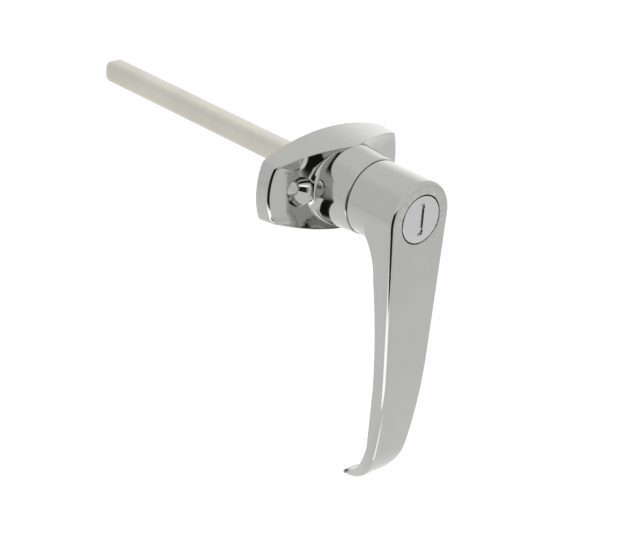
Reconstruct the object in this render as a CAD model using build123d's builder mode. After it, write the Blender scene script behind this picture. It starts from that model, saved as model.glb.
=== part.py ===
from build123d import *
import math
import os

# Keyed L handle on a surface escutcheon, with a wafer lock in the hub and a square spindle.
# Origin: where the spindle axis meets the door face. +Y runs into the door along the spindle,
# +Z is up and the lever hangs down. Plane.XZ faces the user, so an offset from it is a height
# above the door face, and every height below is measured that way.

# --- escutcheon ---
plate_half_length = 27.1
plate_end_bow = 1.9
plate_half_height = 14.7
plate_corner_height = 9.6
plate_corner_radius = 1.6
plate_draft = 6.8
plate_edge_height = 4.7
plate_wall = 2.2
neck_height = 22.5
neck_radius = 12.0
neck_inset = 0.02
neck_blend = 4.0
wing_slope = 14.0
wing_half_width = 9.7
wing_wall_angle = 30.0
wing_end_inset = 3.1
wing_end_break = 0.9
rim_break = 0.4
screw_spacing = 33.0
screw_hole_radius = 2.4
screw_head_radius = 4.8
screw_head_relief = 2.0
boss_wall = 1.9
recess_depth = 5.5
recess_radius = 11.4

# --- handle ---
handle_height = 42.0
seam_gap = 0.25
hub_radius = 11.75
lever_length = 95.0
lever_taper = 0.0566
lever_end_length = 15.0
lever_end_half_width = 2.2
lever_flat_length = 46.0
lever_hook_reach = 19.6
lever_tip_rise = 2.2
lever_tip_low_rise = 0.1
lever_tip_slant = 0.6
# upper stations of the lever's side view: (drop below the axis, depth behind its flat front)
lever_root_top = (5.7, 12.0)
lever_root_middle = (10.6, 9.1)
lever_grip_top = (19.6, 7.3)
lever_grip_middle = (36.0, 5.7)
# lower stations, which keep with the lever's end: (rise above its end, depth behind its front)
lever_back_high = (39.0, 5.4)
lever_back_low = (18.0, 6.9)
lever_bend = (16.5, 3.4)
lever_hook_middle = (8.8, 11.4)
lever_front_break = 1.1
lever_front_second_break = 0.35
lever_back_break = 0.6
# how far a face's normal leans to the door, or to the user, where it counts as back, or as front
back_lean = 0.4
front_lean = 0.5
shank_radius = 9.0
shank_end_height = 0.8
shank_flat = 7.8

# --- clearances ---
running_gap = 0.08
slide_gap = 0.15
face_gap = 0.1
close_gap = 0.05
shell_play = 0.06
# how far a cutting shape passes beyond the surface that it cuts
cut_overrun = 1.0

# --- spindle ---
spindle_size = 7.0
spindle_edge_round = 0.6
spindle_end_break = 0.55
spindle_reach = 105.0
spindle_front_drop = 1.7
spindle_pin_radius = 1.25
spindle_pin_drop = 3.2

# --- cylinder shell and plug ---
shell_radius = 7.5
shell_rear_height = 20.8
shell_pin_radius = 0.7
shell_pin_depth = 1.2
plug_radius = 5.4
plug_tail_length = 0.6
plug_head_radius = 7.15
plug_head_length = 3.0
cap_thickness = 0.4
cap_ring_gap = 0.2
clip_thickness = 0.6
clip_groove_radius = 4.6
clip_radius = 6.6
clip_opening = 3.2

# --- keyway, shutter ---
key_slot_width = 2.0
key_slot_half_height = 5.0
keyway_width = 2.2
keyway_half_height = 4.4
keyway_end_rise = 0.6
shutter_half_height = 4.5
shutter_thickness = 0.4
shutter_pin_radius = 0.4
shutter_pin_offset = 1.6
shutter_pin_half_length = 5.6
shutter_knuckle_wall = 0.35
shutter_pin_play = 0.03
shutter_pocket_depth = 3.4
shutter_spring_wire = 0.11
shutter_spring_length = 1.5
shutter_spring_turns = 3
spring_runs_per_turn = 8

# --- wafers ---
wafer_count = 5
wafer_first_drop = 2.4
wafer_last_rise = 4.6
wafer_thickness = 1.2
wafer_width = 5.6
wafer_half_height = 4.5
wafer_travel = 1.2
wafer_window_half_height = 3.5
wafer_ear_width = 1.4
wafer_ear_height = 1.2
wafer_ear_drop = 0.2
wafer_spring_radius = 0.5
wafer_spring_wire = 0.1
wafer_spring_turns = 3
wafer_spring_floor = 2.6
groove_half_height = 6.1

# --- locking bolt and its drive ---
bolt_throw = 2.0
bolt_thickness = 3.4
bolt_body_half_width = 4.2
bolt_body_top = 4.0
bolt_body_bottom = 6.5
bolt_nose_half_width = 2.2
bolt_tip_inset = 0.15
crank_pin_radius = 1.2
crank_slot_play = 0.1
driver_radius = 5.0
driver_disc_thickness = 2.0
driver_bore_gap = 0.2
driver_tenon = 4.4
driver_tenon_length = 1.2
notch_depth = 2.1

# --- washers and ring behind the neck ---
ring_thickness = 1.0
ring_radius = 10.4
ring_groove_radius = 8.1
ring_height = 2.0
ring_opening = 3.0
stop_washer_thickness = 1.2
stop_washer_radius = 10.8
stop_tab_radius = 12.7
stop_tab_half_angle = 12.0
stop_play_angle = 0.6
spring_washer_sheet = 0.35
spring_washer_radius = 11.2
turn_limit = 90.0

# --- values that follow from the ones above ---
hub_rear_height = neck_height + seam_gap
lever_side_angle = math.atan(lever_taper)
lever_side_top = hub_radius * math.sin(lever_side_angle)
lever_side_low = lever_length - lever_end_length
neck_bore_radius = shank_radius + running_gap
neck_foot_radius = plate_half_height - neck_inset
cap_radius = plug_head_radius + cap_thickness
head_bore_radius = cap_radius + cap_ring_gap
plug_front_height = handle_height - cap_thickness
plug_shoulder_height = plug_front_height - plug_head_length
shell_front_height = plug_shoulder_height - face_gap
shell_bore_radius = plug_radius + shell_play
clip_rear_height = shell_rear_height - face_gap - clip_thickness
plug_end_height = clip_rear_height - plug_tail_length
keyway_end_height = shell_rear_height + keyway_end_rise
driver_rear_height = plug_end_height - driver_disc_thickness
way_front_height = driver_rear_height - face_gap
bolt_front_height = way_front_height - face_gap
bolt_rear_height = bolt_front_height - bolt_thickness
way_rear_height = bolt_rear_height - face_gap
crank_offset = bolt_throw / 2
crank_radius = crank_offset / math.sin(math.radians(45))
spindle_front_height = bolt_rear_height - spindle_front_drop
spindle_pin_height = spindle_front_height - spindle_pin_drop
stop_washer_height = ring_height + ring_thickness + face_gap
spring_washer_height = stop_washer_height + stop_washer_thickness
screw_x = screw_spacing / 2
wing_end_x = plate_half_length - wing_end_inset
wing_fall = math.tan(math.radians(wing_slope))
wing_end_height = plate_edge_height + (wing_end_inset - plate_end_bow / 2) * wing_fall
wafer_first_height = plug_shoulder_height - wafer_first_drop
wafer_last_height = shell_rear_height + wafer_last_rise
wafer_pitch = (wafer_first_height - wafer_last_height) / (wafer_count - 1)
spring_x = (wafer_width + wafer_ear_width) / 2
shutter_knuckle_radius = shutter_pin_radius + shutter_knuckle_wall
shutter_front_height = plug_front_height - close_gap
shutter_pin_height = shutter_front_height - shutter_knuckle_radius


def ring_profile(inner, outer, low, high):
    """Rectangle of a ring about the spindle axis, on the XY plane, between two heights."""
    with BuildSketch() as profile:
        with Locations(((inner + outer) / 2, -(low + high) / 2)):
            Rectangle(outer - inner, high - low)
    return profile.sketch


def polar_point(radius, angle):
    """Point at a radius and an angle in degrees, in a sketch's own plane."""
    return (radius * math.cos(math.radians(angle)), radius * math.sin(math.radians(angle)))


def lever_half_width(drop):
    """Half the width of the lever at a distance below the spindle axis."""
    return hub_radius / math.cos(lever_side_angle) - lever_taper * drop


def side_point(drop, depth):
    """Point of the lever's side view, from its drop below the axis and its depth behind the front."""
    return (depth - handle_height, -drop)


def end_point(rise, depth):
    """Point of the lever's side view, from its rise above the lever's end and its depth."""
    return side_point(lever_length - rise, depth)


def wing_floor_height(x):
    """Height of the scooped wing floor above the door at a distance x from the axis."""
    return wing_end_height + (wing_end_x - x) * wing_fall


def coil_points(centre, radius, length, turns):
    """Corners of a coil of short straight runs about a line along +Z, from a centre at its low end."""
    corners = turns * spring_runs_per_turn
    points = []
    for corner in range(corners + 1):
        across, forward = polar_point(radius, 360 * corner / spring_runs_per_turn)
        points.append(centre + Vector(across, forward, length * corner / corners))
    return points


def plate_outline():
    """Lens outline of the escutcheon: two long arcs and two bowed ends."""
    corner_x = plate_half_length - plate_end_bow
    corner_z = plate_corner_height
    with BuildSketch() as outline:
        with BuildLine():
            ThreePointArc((-corner_x, corner_z), (0, plate_half_height), (corner_x, corner_z))
            ThreePointArc((corner_x, corner_z), (plate_half_length, 0), (corner_x, -corner_z))
            ThreePointArc((corner_x, -corner_z), (0, -plate_half_height), (-corner_x, -corner_z))
            ThreePointArc((-corner_x, -corner_z), (-plate_half_length, 0), (-corner_x, corner_z))
        make_face()
        fillet(outline.vertices(), plate_corner_radius)
    return outline.sketch


def shell_pin_solid(outer_radius):
    """Pin set at 45 degrees below the axis, from inside the shell's wall out to a radius."""
    direction = Vector(math.cos(math.radians(45)), 0, -math.sin(math.radians(45)))
    inner_radius = shell_radius - shell_pin_depth
    pin_height = hub_rear_height - shell_pin_radius - 2 * face_gap
    pin_start = Vector(0, -pin_height, 0) + direction * inner_radius
    with BuildPart() as pin:
        with BuildSketch(Plane(origin=pin_start, z_dir=direction)):
            Circle(shell_pin_radius)
        extrude(amount=outer_radius - inner_radius)
    return pin.part


def wafer_height(index):
    """Height of a wafer's middle above the door."""
    return wafer_first_height - index * wafer_pitch


def wafer_outline():
    """Wafer seen from the front: plate with a key window and an ear for its spring."""
    ear_inner = wafer_width / 2 - wafer_ear_width
    with BuildSketch() as outline:
        Rectangle(wafer_width, 2 * wafer_half_height)
        with Locations((ear_inner + wafer_ear_width, wafer_ear_height / 2 - wafer_ear_drop)):
            Rectangle(2 * wafer_ear_width, wafer_ear_height)
        Rectangle(keyway_width + 2 * slide_gap, 2 * wafer_window_half_height, mode=Mode.SUBTRACT)
    return outline.sketch


def wafer_slot_outline():
    """Slot across the plug for one wafer, with a pocket beside it for the ear and its spring."""
    pocket_outer = wafer_width / 2 + wafer_ear_width + slide_gap
    with BuildSketch() as outline:
        Rectangle(wafer_width + 2 * close_gap, 2 * plug_head_radius)
        with Locations((pocket_outer / 2, plug_radius - wafer_spring_floor / 2)):
            Rectangle(pocket_outer, 2 * plug_radius + wafer_spring_floor)
    return outline.sketch

# --- plate blank: the drafted lens that every outer face of the escutcheon stays within ---
with BuildPart() as plate_blank:
    with BuildSketch(Plane.XZ):
        add(plate_outline())
    extrude(amount=neck_height, taper=plate_draft)

# --- neck: a drafted tube whose foot flares into the wing floors ---
with BuildPart() as neck:
    neck_slope = (neck_foot_radius - neck_radius) / neck_height
    flare_radius = neck_radius + 2 * neck_blend
    with BuildSketch():
        with BuildLine():
            foot_x = (neck_foot_radius - wing_floor_height(0) * neck_slope) / (1 - neck_slope * wing_fall)
            Polyline(
                (0, 0),
                (flare_radius, 0),
                (flare_radius, -wing_floor_height(flare_radius)),
                (foot_x, -wing_floor_height(foot_x)),
                (neck_radius, -neck_height),
                (0, -neck_height),
                close=True,
            )
        foot_face = make_face()
        fillet(foot_face.vertices().sort_by(Axis.X)[3:4], neck_blend)
    revolve(axis=Axis.Y)
    add(plate_blank.part, mode=Mode.INTERSECT)

# --- escutcheon: plate with scooped wings, neck, bore and cored back ---
with BuildPart() as escutcheon:
    add(plate_blank.part)
    # each wing is scooped by a trough that opens towards the user and climbs to the neck
    for side in (-1, 1):
        trough_start = plate_half_length + plate_edge_height
        trough_plane = Plane(
            origin=(side * trough_start, -wing_floor_height(trough_start), 0),
            x_dir=(0, 0, -side),
            z_dir=(-side * math.cos(math.radians(wing_slope)), -math.sin(math.radians(wing_slope)), 0),
        )
        wall_run = plate_half_height
        wall_rise = wall_run * math.tan(math.radians(wing_wall_angle))
        trough_top = neck_height + plate_half_height
        with BuildSketch(trough_plane):
            with BuildLine():
                Polyline(
                    (-wing_half_width, 0),
                    (wing_half_width, 0),
                    (wing_half_width + wall_run, wall_rise),
                    (wing_half_width + wall_run, trough_top),
                    (-wing_half_width - wall_run, trough_top),
                    (-wing_half_width - wall_run, wall_rise),
                    close=True,
                )
            make_face()
        extrude(amount=plate_half_length + neck_radius, mode=Mode.SUBTRACT)
    long_edges = escutcheon.edges().filter_by(lambda edge: edge.length > plate_half_height)
    end_edges = long_edges.filter_by(
        lambda edge: edge.center().Y < -shank_end_height and abs(edge.center().X) > wing_end_x
    )
    chamfer(end_edges, wing_end_break)
    long_edges = escutcheon.edges().filter_by(lambda edge: edge.length > plate_half_height)
    rim_edges = long_edges.filter_by(
        lambda edge: edge.center().Y < -plate_edge_height
        and abs(edge.center().Z) > wing_half_width + rim_break
    )
    chamfer(rim_edges, rim_break)
    add(neck.part)
    # neck bore, washer recess and the arc that the stop washer's tab swings in
    with BuildSketch():
        add(ring_profile(0, neck_bore_radius, 0, neck_height))
    revolve(axis=Axis.Y, mode=Mode.SUBTRACT)
    with BuildSketch():
        add(ring_profile(0, recess_radius, 0, recess_depth))
    revolve(axis=Axis.Y, mode=Mode.SUBTRACT)
    stop_sweep = turn_limit + stop_tab_half_angle + stop_play_angle
    with BuildSketch(Plane.XZ):
        with BuildLine():
            CenterArc((0, 0), stop_tab_radius + face_gap * 2, 90 - stop_sweep, 2 * stop_sweep)
            Line(polar_point(stop_tab_radius + face_gap * 2, 90 - stop_sweep), (0, 0))
            Line(polar_point(stop_tab_radius + face_gap * 2, 90 + stop_sweep), (0, 0))
        make_face()
    extrude(amount=stop_washer_height + stop_washer_thickness + face_gap, mode=Mode.SUBTRACT)
    # locking notches, open towards the hub, for the lever down and a quarter turn each way
    notch_half_width = bolt_nose_half_width + slide_gap
    notch_reach = neck_bore_radius + notch_depth
    with BuildSketch(Plane.XZ.offset(way_rear_height)):
        Rectangle(2 * notch_reach, 2 * notch_half_width)
        with Locations((0, notch_reach / 2)):
            Rectangle(2 * notch_half_width, notch_reach)
    extrude(amount=neck_height, mode=Mode.SUBTRACT)
    # countersunk fixing holes, with room over each for the screw's head
    for side in (-1, 1):
        floor_height = wing_floor_height(screw_x)
        with Locations(Plane.XZ.offset(floor_height) * Location((side * screw_x, 0, 0))):
            CounterSinkHole(screw_hole_radius, screw_head_radius, depth=floor_height)
        with BuildSketch(Plane.XZ.offset(floor_height)):
            with Locations((side * screw_x, 0)):
                Circle(screw_head_radius)
        extrude(amount=screw_head_relief, mode=Mode.SUBTRACT)
    # cored back of each wing, leaving a boss round the screw hole
    for side in (-1, 1):
        core_inner = recess_radius + plate_wall
        core_outer = plate_half_length - 2 * plate_wall
        with BuildPart(mode=Mode.PRIVATE) as core:
            with BuildSketch():
                with BuildLine():
                    Polyline(
                        (side * core_inner, 0),
                        (side * core_outer, 0),
                        (side * core_outer, plate_wall - wing_floor_height(core_outer)),
                        (side * core_inner, plate_wall - wing_floor_height(core_inner)),
                        close=True,
                    )
                make_face()
            extrude(amount=wing_half_width - plate_wall, both=True)
            with BuildSketch(Plane.XZ):
                with Locations((side * screw_x, 0)):
                    Circle(screw_hole_radius + boss_wall)
            extrude(amount=handle_height, mode=Mode.SUBTRACT)
        add(core.part, mode=Mode.SUBTRACT)
escutcheon.part.label = "escutcheon"

# --- lever blank: hub and lever as the user sees them, sides tangent to the hub ---
with BuildPart() as lever_blank:
    top_half_width = lever_half_width(lever_side_top)
    low_half_width = lever_half_width(lever_side_low)
    with BuildSketch(Plane.XZ):
        with BuildLine():
            ThreePointArc(
                (-top_half_width, -lever_side_top), (0, hub_radius), (top_half_width, -lever_side_top)
            )
            for side in (-1, 1):
                side_top = (side * top_half_width, -lever_side_top)
                side_low = (side * low_half_width, -lever_side_low)
                edge = Line(side_top, side_low)
                TangentArc(edge @ 1, (side * lever_end_half_width, -lever_length), tangent=edge % 1)
            Line((-lever_end_half_width, -lever_length), (lever_end_half_width, -lever_length))
        make_face()
    extrude(amount=handle_height)

# --- handle: hub, lever and shank in one casting ---
with BuildPart() as handle:
    # the lever seen from its side: flat front, then a sweep towards the door that ends in a hook
    with BuildSketch(Plane.YZ.offset(-hub_radius)):
        with BuildLine():
            tip_low = end_point(lever_tip_low_rise, lever_hook_reach - lever_tip_slant)
            tip_high = end_point(lever_tip_rise, lever_hook_reach)
            back_low = end_point(*lever_back_low)
            back_high = end_point(*lever_back_high)
            grip_top = side_point(*lever_grip_top)
            sweep_in = TangentArc(side_point(lever_flat_length, 0), end_point(*lever_bend), tangent=(0, -1))
            TangentArc(sweep_in @ 1, tip_low, tangent=sweep_in % 1)
            Line(tip_low, tip_high)
            ThreePointArc(tip_high, end_point(*lever_hook_middle), back_low)
            Line(back_low, back_high)
            ThreePointArc(back_high, side_point(*lever_grip_middle), grip_top)
            ThreePointArc(grip_top, side_point(*lever_root_middle), side_point(*lever_root_top))
            root_drop, root_depth = lever_root_top
            Polyline(
                side_point(root_drop, root_depth),
                side_point(-2 * hub_radius, root_depth),
                side_point(-2 * hub_radius, 0),
                side_point(lever_flat_length, 0),
            )
        make_face()
    extrude(amount=2 * hub_radius)
    add(lever_blank.part, mode=Mode.INTERSECT)
    with BuildSketch(Plane(origin=(0, -hub_rear_height, 0), x_dir=(0, 0, -1), z_dir=(0, -1, 0))):
        Circle(hub_radius)
    extrude(amount=handle_height - hub_rear_height)
    # the back edge is broken once and the front edge twice, which rounds it
    smallest_face = 2 * lever_end_half_width * lever_end_length
    back_faces = handle.faces().filter_by(
        lambda face: face.normal_at().Y > back_lean
        and face.center().Z < -root_drop
        and face.area > smallest_face
    )
    back_edges = ShapeList([edge for face in back_faces for edge in face.edges()])
    chamfer(
        back_edges.filter_by(Axis.X, reverse=True).filter_by(lambda edge: edge.center().Z < -hub_radius),
        lever_back_break,
    )
    for size in (lever_front_break, lever_front_second_break):
        front_faces = handle.faces().filter_by(
            lambda face: face.normal_at().Y < -front_lean and face.area > 2 * smallest_face
        ).sort_by(Axis.Y)
        front_edges = ShapeList([edge for face in front_faces for edge in face.edges()])
        chamfer(front_edges.filter_by(Axis.X, reverse=True), size)
    # shank with two flats for the stop washer and a groove for the retaining ring
    with BuildSketch(Plane.XZ.offset(shank_end_height)):
        Circle(shank_radius)
    extrude(amount=hub_rear_height - shank_end_height)
    flat_depth = shank_radius - shank_flat
    with BuildSketch(Plane.XZ.offset(shank_end_height)):
        with Locations((shank_flat + flat_depth, 0), (-shank_flat - flat_depth, 0)):
            Rectangle(2 * flat_depth, 2 * shank_radius)
    extrude(amount=spring_washer_height - shank_end_height, mode=Mode.SUBTRACT)
    with BuildSketch():
        groove_front_height = ring_height + ring_thickness + face_gap
        add(ring_profile(ring_groove_radius, shank_radius + cut_overrun, ring_height, groove_front_height))
    revolve(axis=Axis.Y, mode=Mode.SUBTRACT)
    # stepped bore for the lock, from the user's side
    for radius, low, high in (
        (head_bore_radius, shell_front_height, handle_height),
        (shell_radius, plug_end_height - face_gap, shell_front_height),
        (driver_radius + driver_bore_gap, way_front_height, plug_end_height - face_gap),
    ):
        with BuildSketch(Plane.XZ.offset(low)):
            Circle(radius)
        extrude(amount=high - low, mode=Mode.SUBTRACT)
    # way for the locking bolt: wide from below, narrow for its nose above
    way_top = bolt_body_top + bolt_throw + 2 * slide_gap
    with BuildSketch(Plane.XZ.offset(way_rear_height)):
        with Locations((0, (way_top - hub_radius) / 2)):
            Rectangle(2 * (bolt_body_half_width + slide_gap), way_top + hub_radius)
        with Locations((0, hub_radius / 2)):
            Rectangle(2 * (bolt_nose_half_width + slide_gap), hub_radius)
    extrude(amount=way_front_height - way_rear_height, mode=Mode.SUBTRACT)
    with BuildSketch(Plane.XZ.offset(shank_end_height)):
        Rectangle(spindle_size + 2 * close_gap, spindle_size + 2 * close_gap)
    extrude(amount=spindle_front_height - shank_end_height, mode=Mode.SUBTRACT)
    with Locations((0, -spindle_pin_height, 0)):
        Cylinder(
            spindle_pin_radius, 2 * (shank_radius + cut_overrun), rotation=(0, 90, 0), mode=Mode.SUBTRACT
        )
    add(shell_pin_solid(shank_radius + cut_overrun), mode=Mode.SUBTRACT)
handle.part.label = "handle"

# --- spindle: square bar, pinned in the shank ---
with BuildPart() as spindle:
    with BuildSketch(Plane.XZ.offset(spindle_front_height)):
        Rectangle(spindle_size, spindle_size)
    extrude(amount=-spindle_reach - spindle_front_height)
    fillet(spindle.edges().filter_by(Axis.Y), spindle_edge_round)
    chamfer(spindle.faces().sort_by(Axis.Y)[-1].edges(), spindle_end_break)
    with Locations((0, -spindle_pin_height, 0)):
        Cylinder(spindle_pin_radius, 2 * spindle_size, rotation=(0, 90, 0), mode=Mode.SUBTRACT)
spindle.part.label = "spindle"

with BuildPart() as spindle_pin:
    with Locations((0, -spindle_pin_height, 0)):
        Cylinder(spindle_pin_radius, 2 * (shank_radius - face_gap), rotation=(0, 90, 0))
spindle_pin.part.label = "spindle_pin"

# --- washers and ring that hold the shank in the escutcheon ---
with BuildPart() as spring_washer:
    with BuildSketch():
        with BuildLine():
            inner = shank_radius + slide_gap
            Polyline(
                (inner, -spring_washer_height),
                (inner, -spring_washer_height - spring_washer_sheet),
                (spring_washer_radius, -recess_depth + running_gap),
                (spring_washer_radius, -recess_depth + running_gap + spring_washer_sheet),
                close=True,
            )
        make_face()
    revolve(axis=Axis.Y)
spring_washer.part.label = "spring_washer"

with BuildPart() as stop_washer:
    with BuildSketch(Plane.XZ.offset(stop_washer_height)):
        Circle(stop_washer_radius)
        with BuildLine():
            CenterArc((0, 0), stop_tab_radius, 90 - stop_tab_half_angle, 2 * stop_tab_half_angle)
            Line((0, 0), polar_point(stop_tab_radius, 90 - stop_tab_half_angle))
            Line((0, 0), polar_point(stop_tab_radius, 90 + stop_tab_half_angle))
        make_face()
        with BuildSketch(mode=Mode.SUBTRACT):
            Circle(shank_radius + close_gap)
            Rectangle(2 * (shank_flat + close_gap), 4 * shank_radius, mode=Mode.INTERSECT)
    extrude(amount=stop_washer_thickness)
stop_washer.part.label = "stop_washer"

with BuildPart() as retaining_ring:
    with BuildSketch(Plane.XZ.offset(ring_height)):
        Circle(ring_radius)
        Circle(ring_groove_radius + close_gap, mode=Mode.SUBTRACT)
        with Locations((0, -ring_radius)):
            Rectangle(ring_opening, 2 * ring_radius - ring_groove_radius, mode=Mode.SUBTRACT)
    extrude(amount=ring_thickness)
retaining_ring.part.label = "retaining_ring"

# --- cylinder shell: pressed in the hub and held by a pin that the neck then hides ---
with BuildPart() as cylinder_shell:
    with BuildSketch(Plane.XZ.offset(shell_rear_height)):
        Circle(shell_radius)
        Circle(shell_bore_radius, mode=Mode.SUBTRACT)
    extrude(amount=shell_front_height - shell_rear_height)
    # a groove on each of four sides takes the wafers with the key out, locked or unlocked
    with BuildSketch(Plane.XZ.offset(shell_rear_height)):
        Rectangle(wafer_width + 2 * slide_gap, 2 * groove_half_height)
        Rectangle(2 * groove_half_height, wafer_width + 2 * slide_gap)
    extrude(amount=wafer_first_height + wafer_thickness - shell_rear_height, mode=Mode.SUBTRACT)
    add(shell_pin_solid(shank_radius + cut_overrun), mode=Mode.SUBTRACT)
cylinder_shell.part.label = "cylinder_shell"

with BuildPart() as shell_pin:
    add(shell_pin_solid(shank_radius - face_gap))
shell_pin.part.label = "shell_pin"

# --- key plug: head, body with wafer slots, keyway and a tenon for the driver ---
with BuildPart() as key_plug:
    with BuildSketch(Plane.XZ.offset(plug_end_height)):
        Circle(plug_radius)
    extrude(amount=plug_shoulder_height - plug_end_height)
    with BuildSketch(Plane.XZ.offset(plug_shoulder_height)):
        Circle(plug_head_radius)
    extrude(amount=plug_head_length)
    with BuildSketch(Plane.XZ.offset(plug_end_height - driver_tenon_length)):
        Rectangle(driver_tenon, driver_tenon)
    extrude(amount=driver_tenon_length)
    with BuildSketch():
        clip_front_height = clip_rear_height + clip_thickness
        add(ring_profile(clip_groove_radius, plug_radius + cut_overrun, clip_rear_height, clip_front_height))
    revolve(axis=Axis.Y, mode=Mode.SUBTRACT)
    with BuildSketch(Plane.XZ.offset(keyway_end_height)):
        Rectangle(keyway_width, 2 * keyway_half_height)
    extrude(amount=handle_height - keyway_end_height, mode=Mode.SUBTRACT)
    with BuildSketch(Plane.XZ.offset(plug_front_height - shutter_pocket_depth)):
        pocket_left = -shutter_pin_offset - shutter_knuckle_radius - slide_gap
        pocket_right = key_slot_width / 2 + slide_gap
        with Locations(((pocket_left + pocket_right) / 2, 0)):
            Rectangle(pocket_right - pocket_left, 2 * (shutter_half_height + slide_gap))
    extrude(amount=shutter_pocket_depth, mode=Mode.SUBTRACT)
    with Locations((-shutter_pin_offset, -shutter_pin_height, 0)):
        Cylinder(shutter_pin_radius, 2 * shutter_pin_half_length, mode=Mode.SUBTRACT)
    for index in range(wafer_count):
        with BuildSketch(Plane.XZ.offset(wafer_height(index) - wafer_thickness / 2 - close_gap)):
            add(wafer_slot_outline(), rotation=180 * (index % 2))
        extrude(amount=wafer_thickness + 2 * close_gap, mode=Mode.SUBTRACT)
key_plug.part.label = "key_plug"

with BuildPart() as plug_clip:
    with BuildSketch(Plane.XZ.offset(clip_rear_height)):
        Circle(clip_radius)
        Circle(clip_groove_radius + close_gap, mode=Mode.SUBTRACT)
        with Locations((0, -clip_radius)):
            Rectangle(clip_opening, 2 * clip_radius - clip_groove_radius, mode=Mode.SUBTRACT)
    extrude(amount=clip_thickness)
plug_clip.part.label = "plug_clip"

# --- face cap: thin cover over the plug's head, with the key slot ---
with BuildPart() as plug_cap:
    with BuildSketch(Plane.XZ.offset(plug_front_height)):
        Circle(cap_radius)
        Rectangle(key_slot_width, 2 * key_slot_half_height, mode=Mode.SUBTRACT)
    extrude(amount=cap_thickness)
    with BuildSketch(Plane.XZ.offset(plug_shoulder_height + slide_gap)):
        Circle(cap_radius)
        Circle(plug_head_radius, mode=Mode.SUBTRACT)
    extrude(amount=plug_front_height - plug_shoulder_height - slide_gap)
plug_cap.part.label = "plug_cap"

# --- shutter: flap behind the slot, on its own pin and spring ---
with BuildPart() as shutter:
    plate_right = key_slot_width / 2 - close_gap
    plate_length = plate_right + shutter_pin_offset
    with BuildSketch(Plane.XY.offset(-shutter_half_height)):
        with Locations((-shutter_pin_offset, -shutter_pin_height)):
            Circle(shutter_knuckle_radius)
        plate_rear = shutter_front_height - shutter_thickness
        with Locations((plate_right - plate_length / 2, -(shutter_front_height + plate_rear) / 2)):
            Rectangle(plate_length, shutter_thickness)
        with Locations((-shutter_pin_offset, -shutter_pin_height)):
            Circle(shutter_pin_radius + shutter_pin_play, mode=Mode.SUBTRACT)
    extrude(amount=2 * shutter_half_height)
    with Locations((-shutter_pin_offset, -shutter_pin_height, 0)):
        Box(
            2 * shutter_knuckle_radius + face_gap,
            4 * shutter_knuckle_radius,
            shutter_spring_length + 2 * slide_gap,
            mode=Mode.SUBTRACT,
        )
shutter.part.label = "shutter"

with BuildPart() as shutter_pin:
    with Locations((-shutter_pin_offset, -shutter_pin_height, 0)):
        Cylinder(shutter_pin_radius, 2 * shutter_pin_half_length)
shutter_pin.part.label = "shutter_pin"

with BuildPart() as shutter_spring:
    coil_radius = shutter_pin_radius + shutter_spring_wire + close_gap
    coil_length = shutter_spring_length - 2 * shutter_spring_wire
    coil_base = Vector(-shutter_pin_offset, -shutter_pin_height, -coil_length / 2)
    with BuildLine() as coil:
        Polyline(*coil_points(coil_base, coil_radius, coil_length, shutter_spring_turns))
    with BuildSketch(Plane(origin=coil.wire() @ 0, z_dir=coil.wire() % 0)):
        RegularPolygon(shutter_spring_wire, 6)
    sweep(transition=Transition.RIGHT)
shutter_spring.part.label = "shutter_spring"

# --- driver: disc on the plug's tenon with an eccentric crank pin that works the bolt ---
with BuildPart() as plug_driver:
    with BuildSketch(Plane.XZ.offset(driver_rear_height)):
        Circle(driver_radius)
    extrude(amount=plug_end_height - driver_rear_height)
    with BuildSketch(Plane.XZ.offset(plug_end_height - driver_tenon_length)):
        Rectangle(driver_tenon, driver_tenon)
    extrude(amount=driver_tenon_length, mode=Mode.SUBTRACT)
    with BuildSketch(Plane.XZ.offset(bolt_rear_height)):
        with Locations((-crank_offset, -crank_offset)):
            Circle(crank_pin_radius)
    extrude(amount=driver_rear_height - bolt_rear_height)
plug_driver.part.label = "plug_driver"

# --- locking bolt: slides out of the shank into a notch of the neck ---
with BuildPart() as locking_bolt:
    with BuildSketch(Plane.XZ.offset(bolt_rear_height)):
        with Locations((0, (bolt_body_top - bolt_body_bottom) / 2)):
            Rectangle(2 * bolt_body_half_width, bolt_body_top + bolt_body_bottom)
        with Locations((0, shank_radius / 2)):
            Rectangle(2 * bolt_nose_half_width, shank_radius)
        Circle(shank_radius - bolt_tip_inset, mode=Mode.INTERSECT)
        slot_left = -crank_radius - crank_pin_radius - slide_gap
        slot_right = -crank_offset + crank_pin_radius + slide_gap
        with Locations(((slot_left + slot_right) / 2, -crank_offset)):
            Rectangle(slot_right - slot_left, 2 * (crank_pin_radius + crank_slot_play), mode=Mode.SUBTRACT)
    extrude(amount=bolt_thickness)
locking_bolt.part.label = "locking_bolt"

# --- wafers and their springs, every second one turned over ---
wafers = []
for index in range(wafer_count):
    with BuildPart() as wafer:
        with BuildSketch(Plane.XZ.offset(wafer_height(index) - wafer_thickness / 2)):
            add(wafer_outline(), rotation=180 * (index % 2))
        extrude(amount=wafer_thickness)
    turned = -1 if index % 2 else 1
    coil_length = wafer_spring_floor - wafer_ear_drop - 2 * wafer_spring_wire
    coil_middle = -turned * (wafer_spring_floor + wafer_ear_drop) / 2
    coil_base = Vector(turned * spring_x, -wafer_height(index), coil_middle - coil_length / 2)
    with BuildPart() as wafer_spring:
        with BuildLine() as coil:
            Polyline(*coil_points(coil_base, wafer_spring_radius, coil_length, wafer_spring_turns))
        with BuildSketch(Plane(origin=coil.wire() @ 0, z_dir=coil.wire() % 0)):
            RegularPolygon(wafer_spring_wire, 6)
        sweep(transition=Transition.RIGHT)
    wafer.part.label = f"wafer_{index + 1}"
    wafer_spring.part.label = f"wafer_spring_{index + 1}"
    wafers += [wafer.part, wafer_spring.part]

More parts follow.
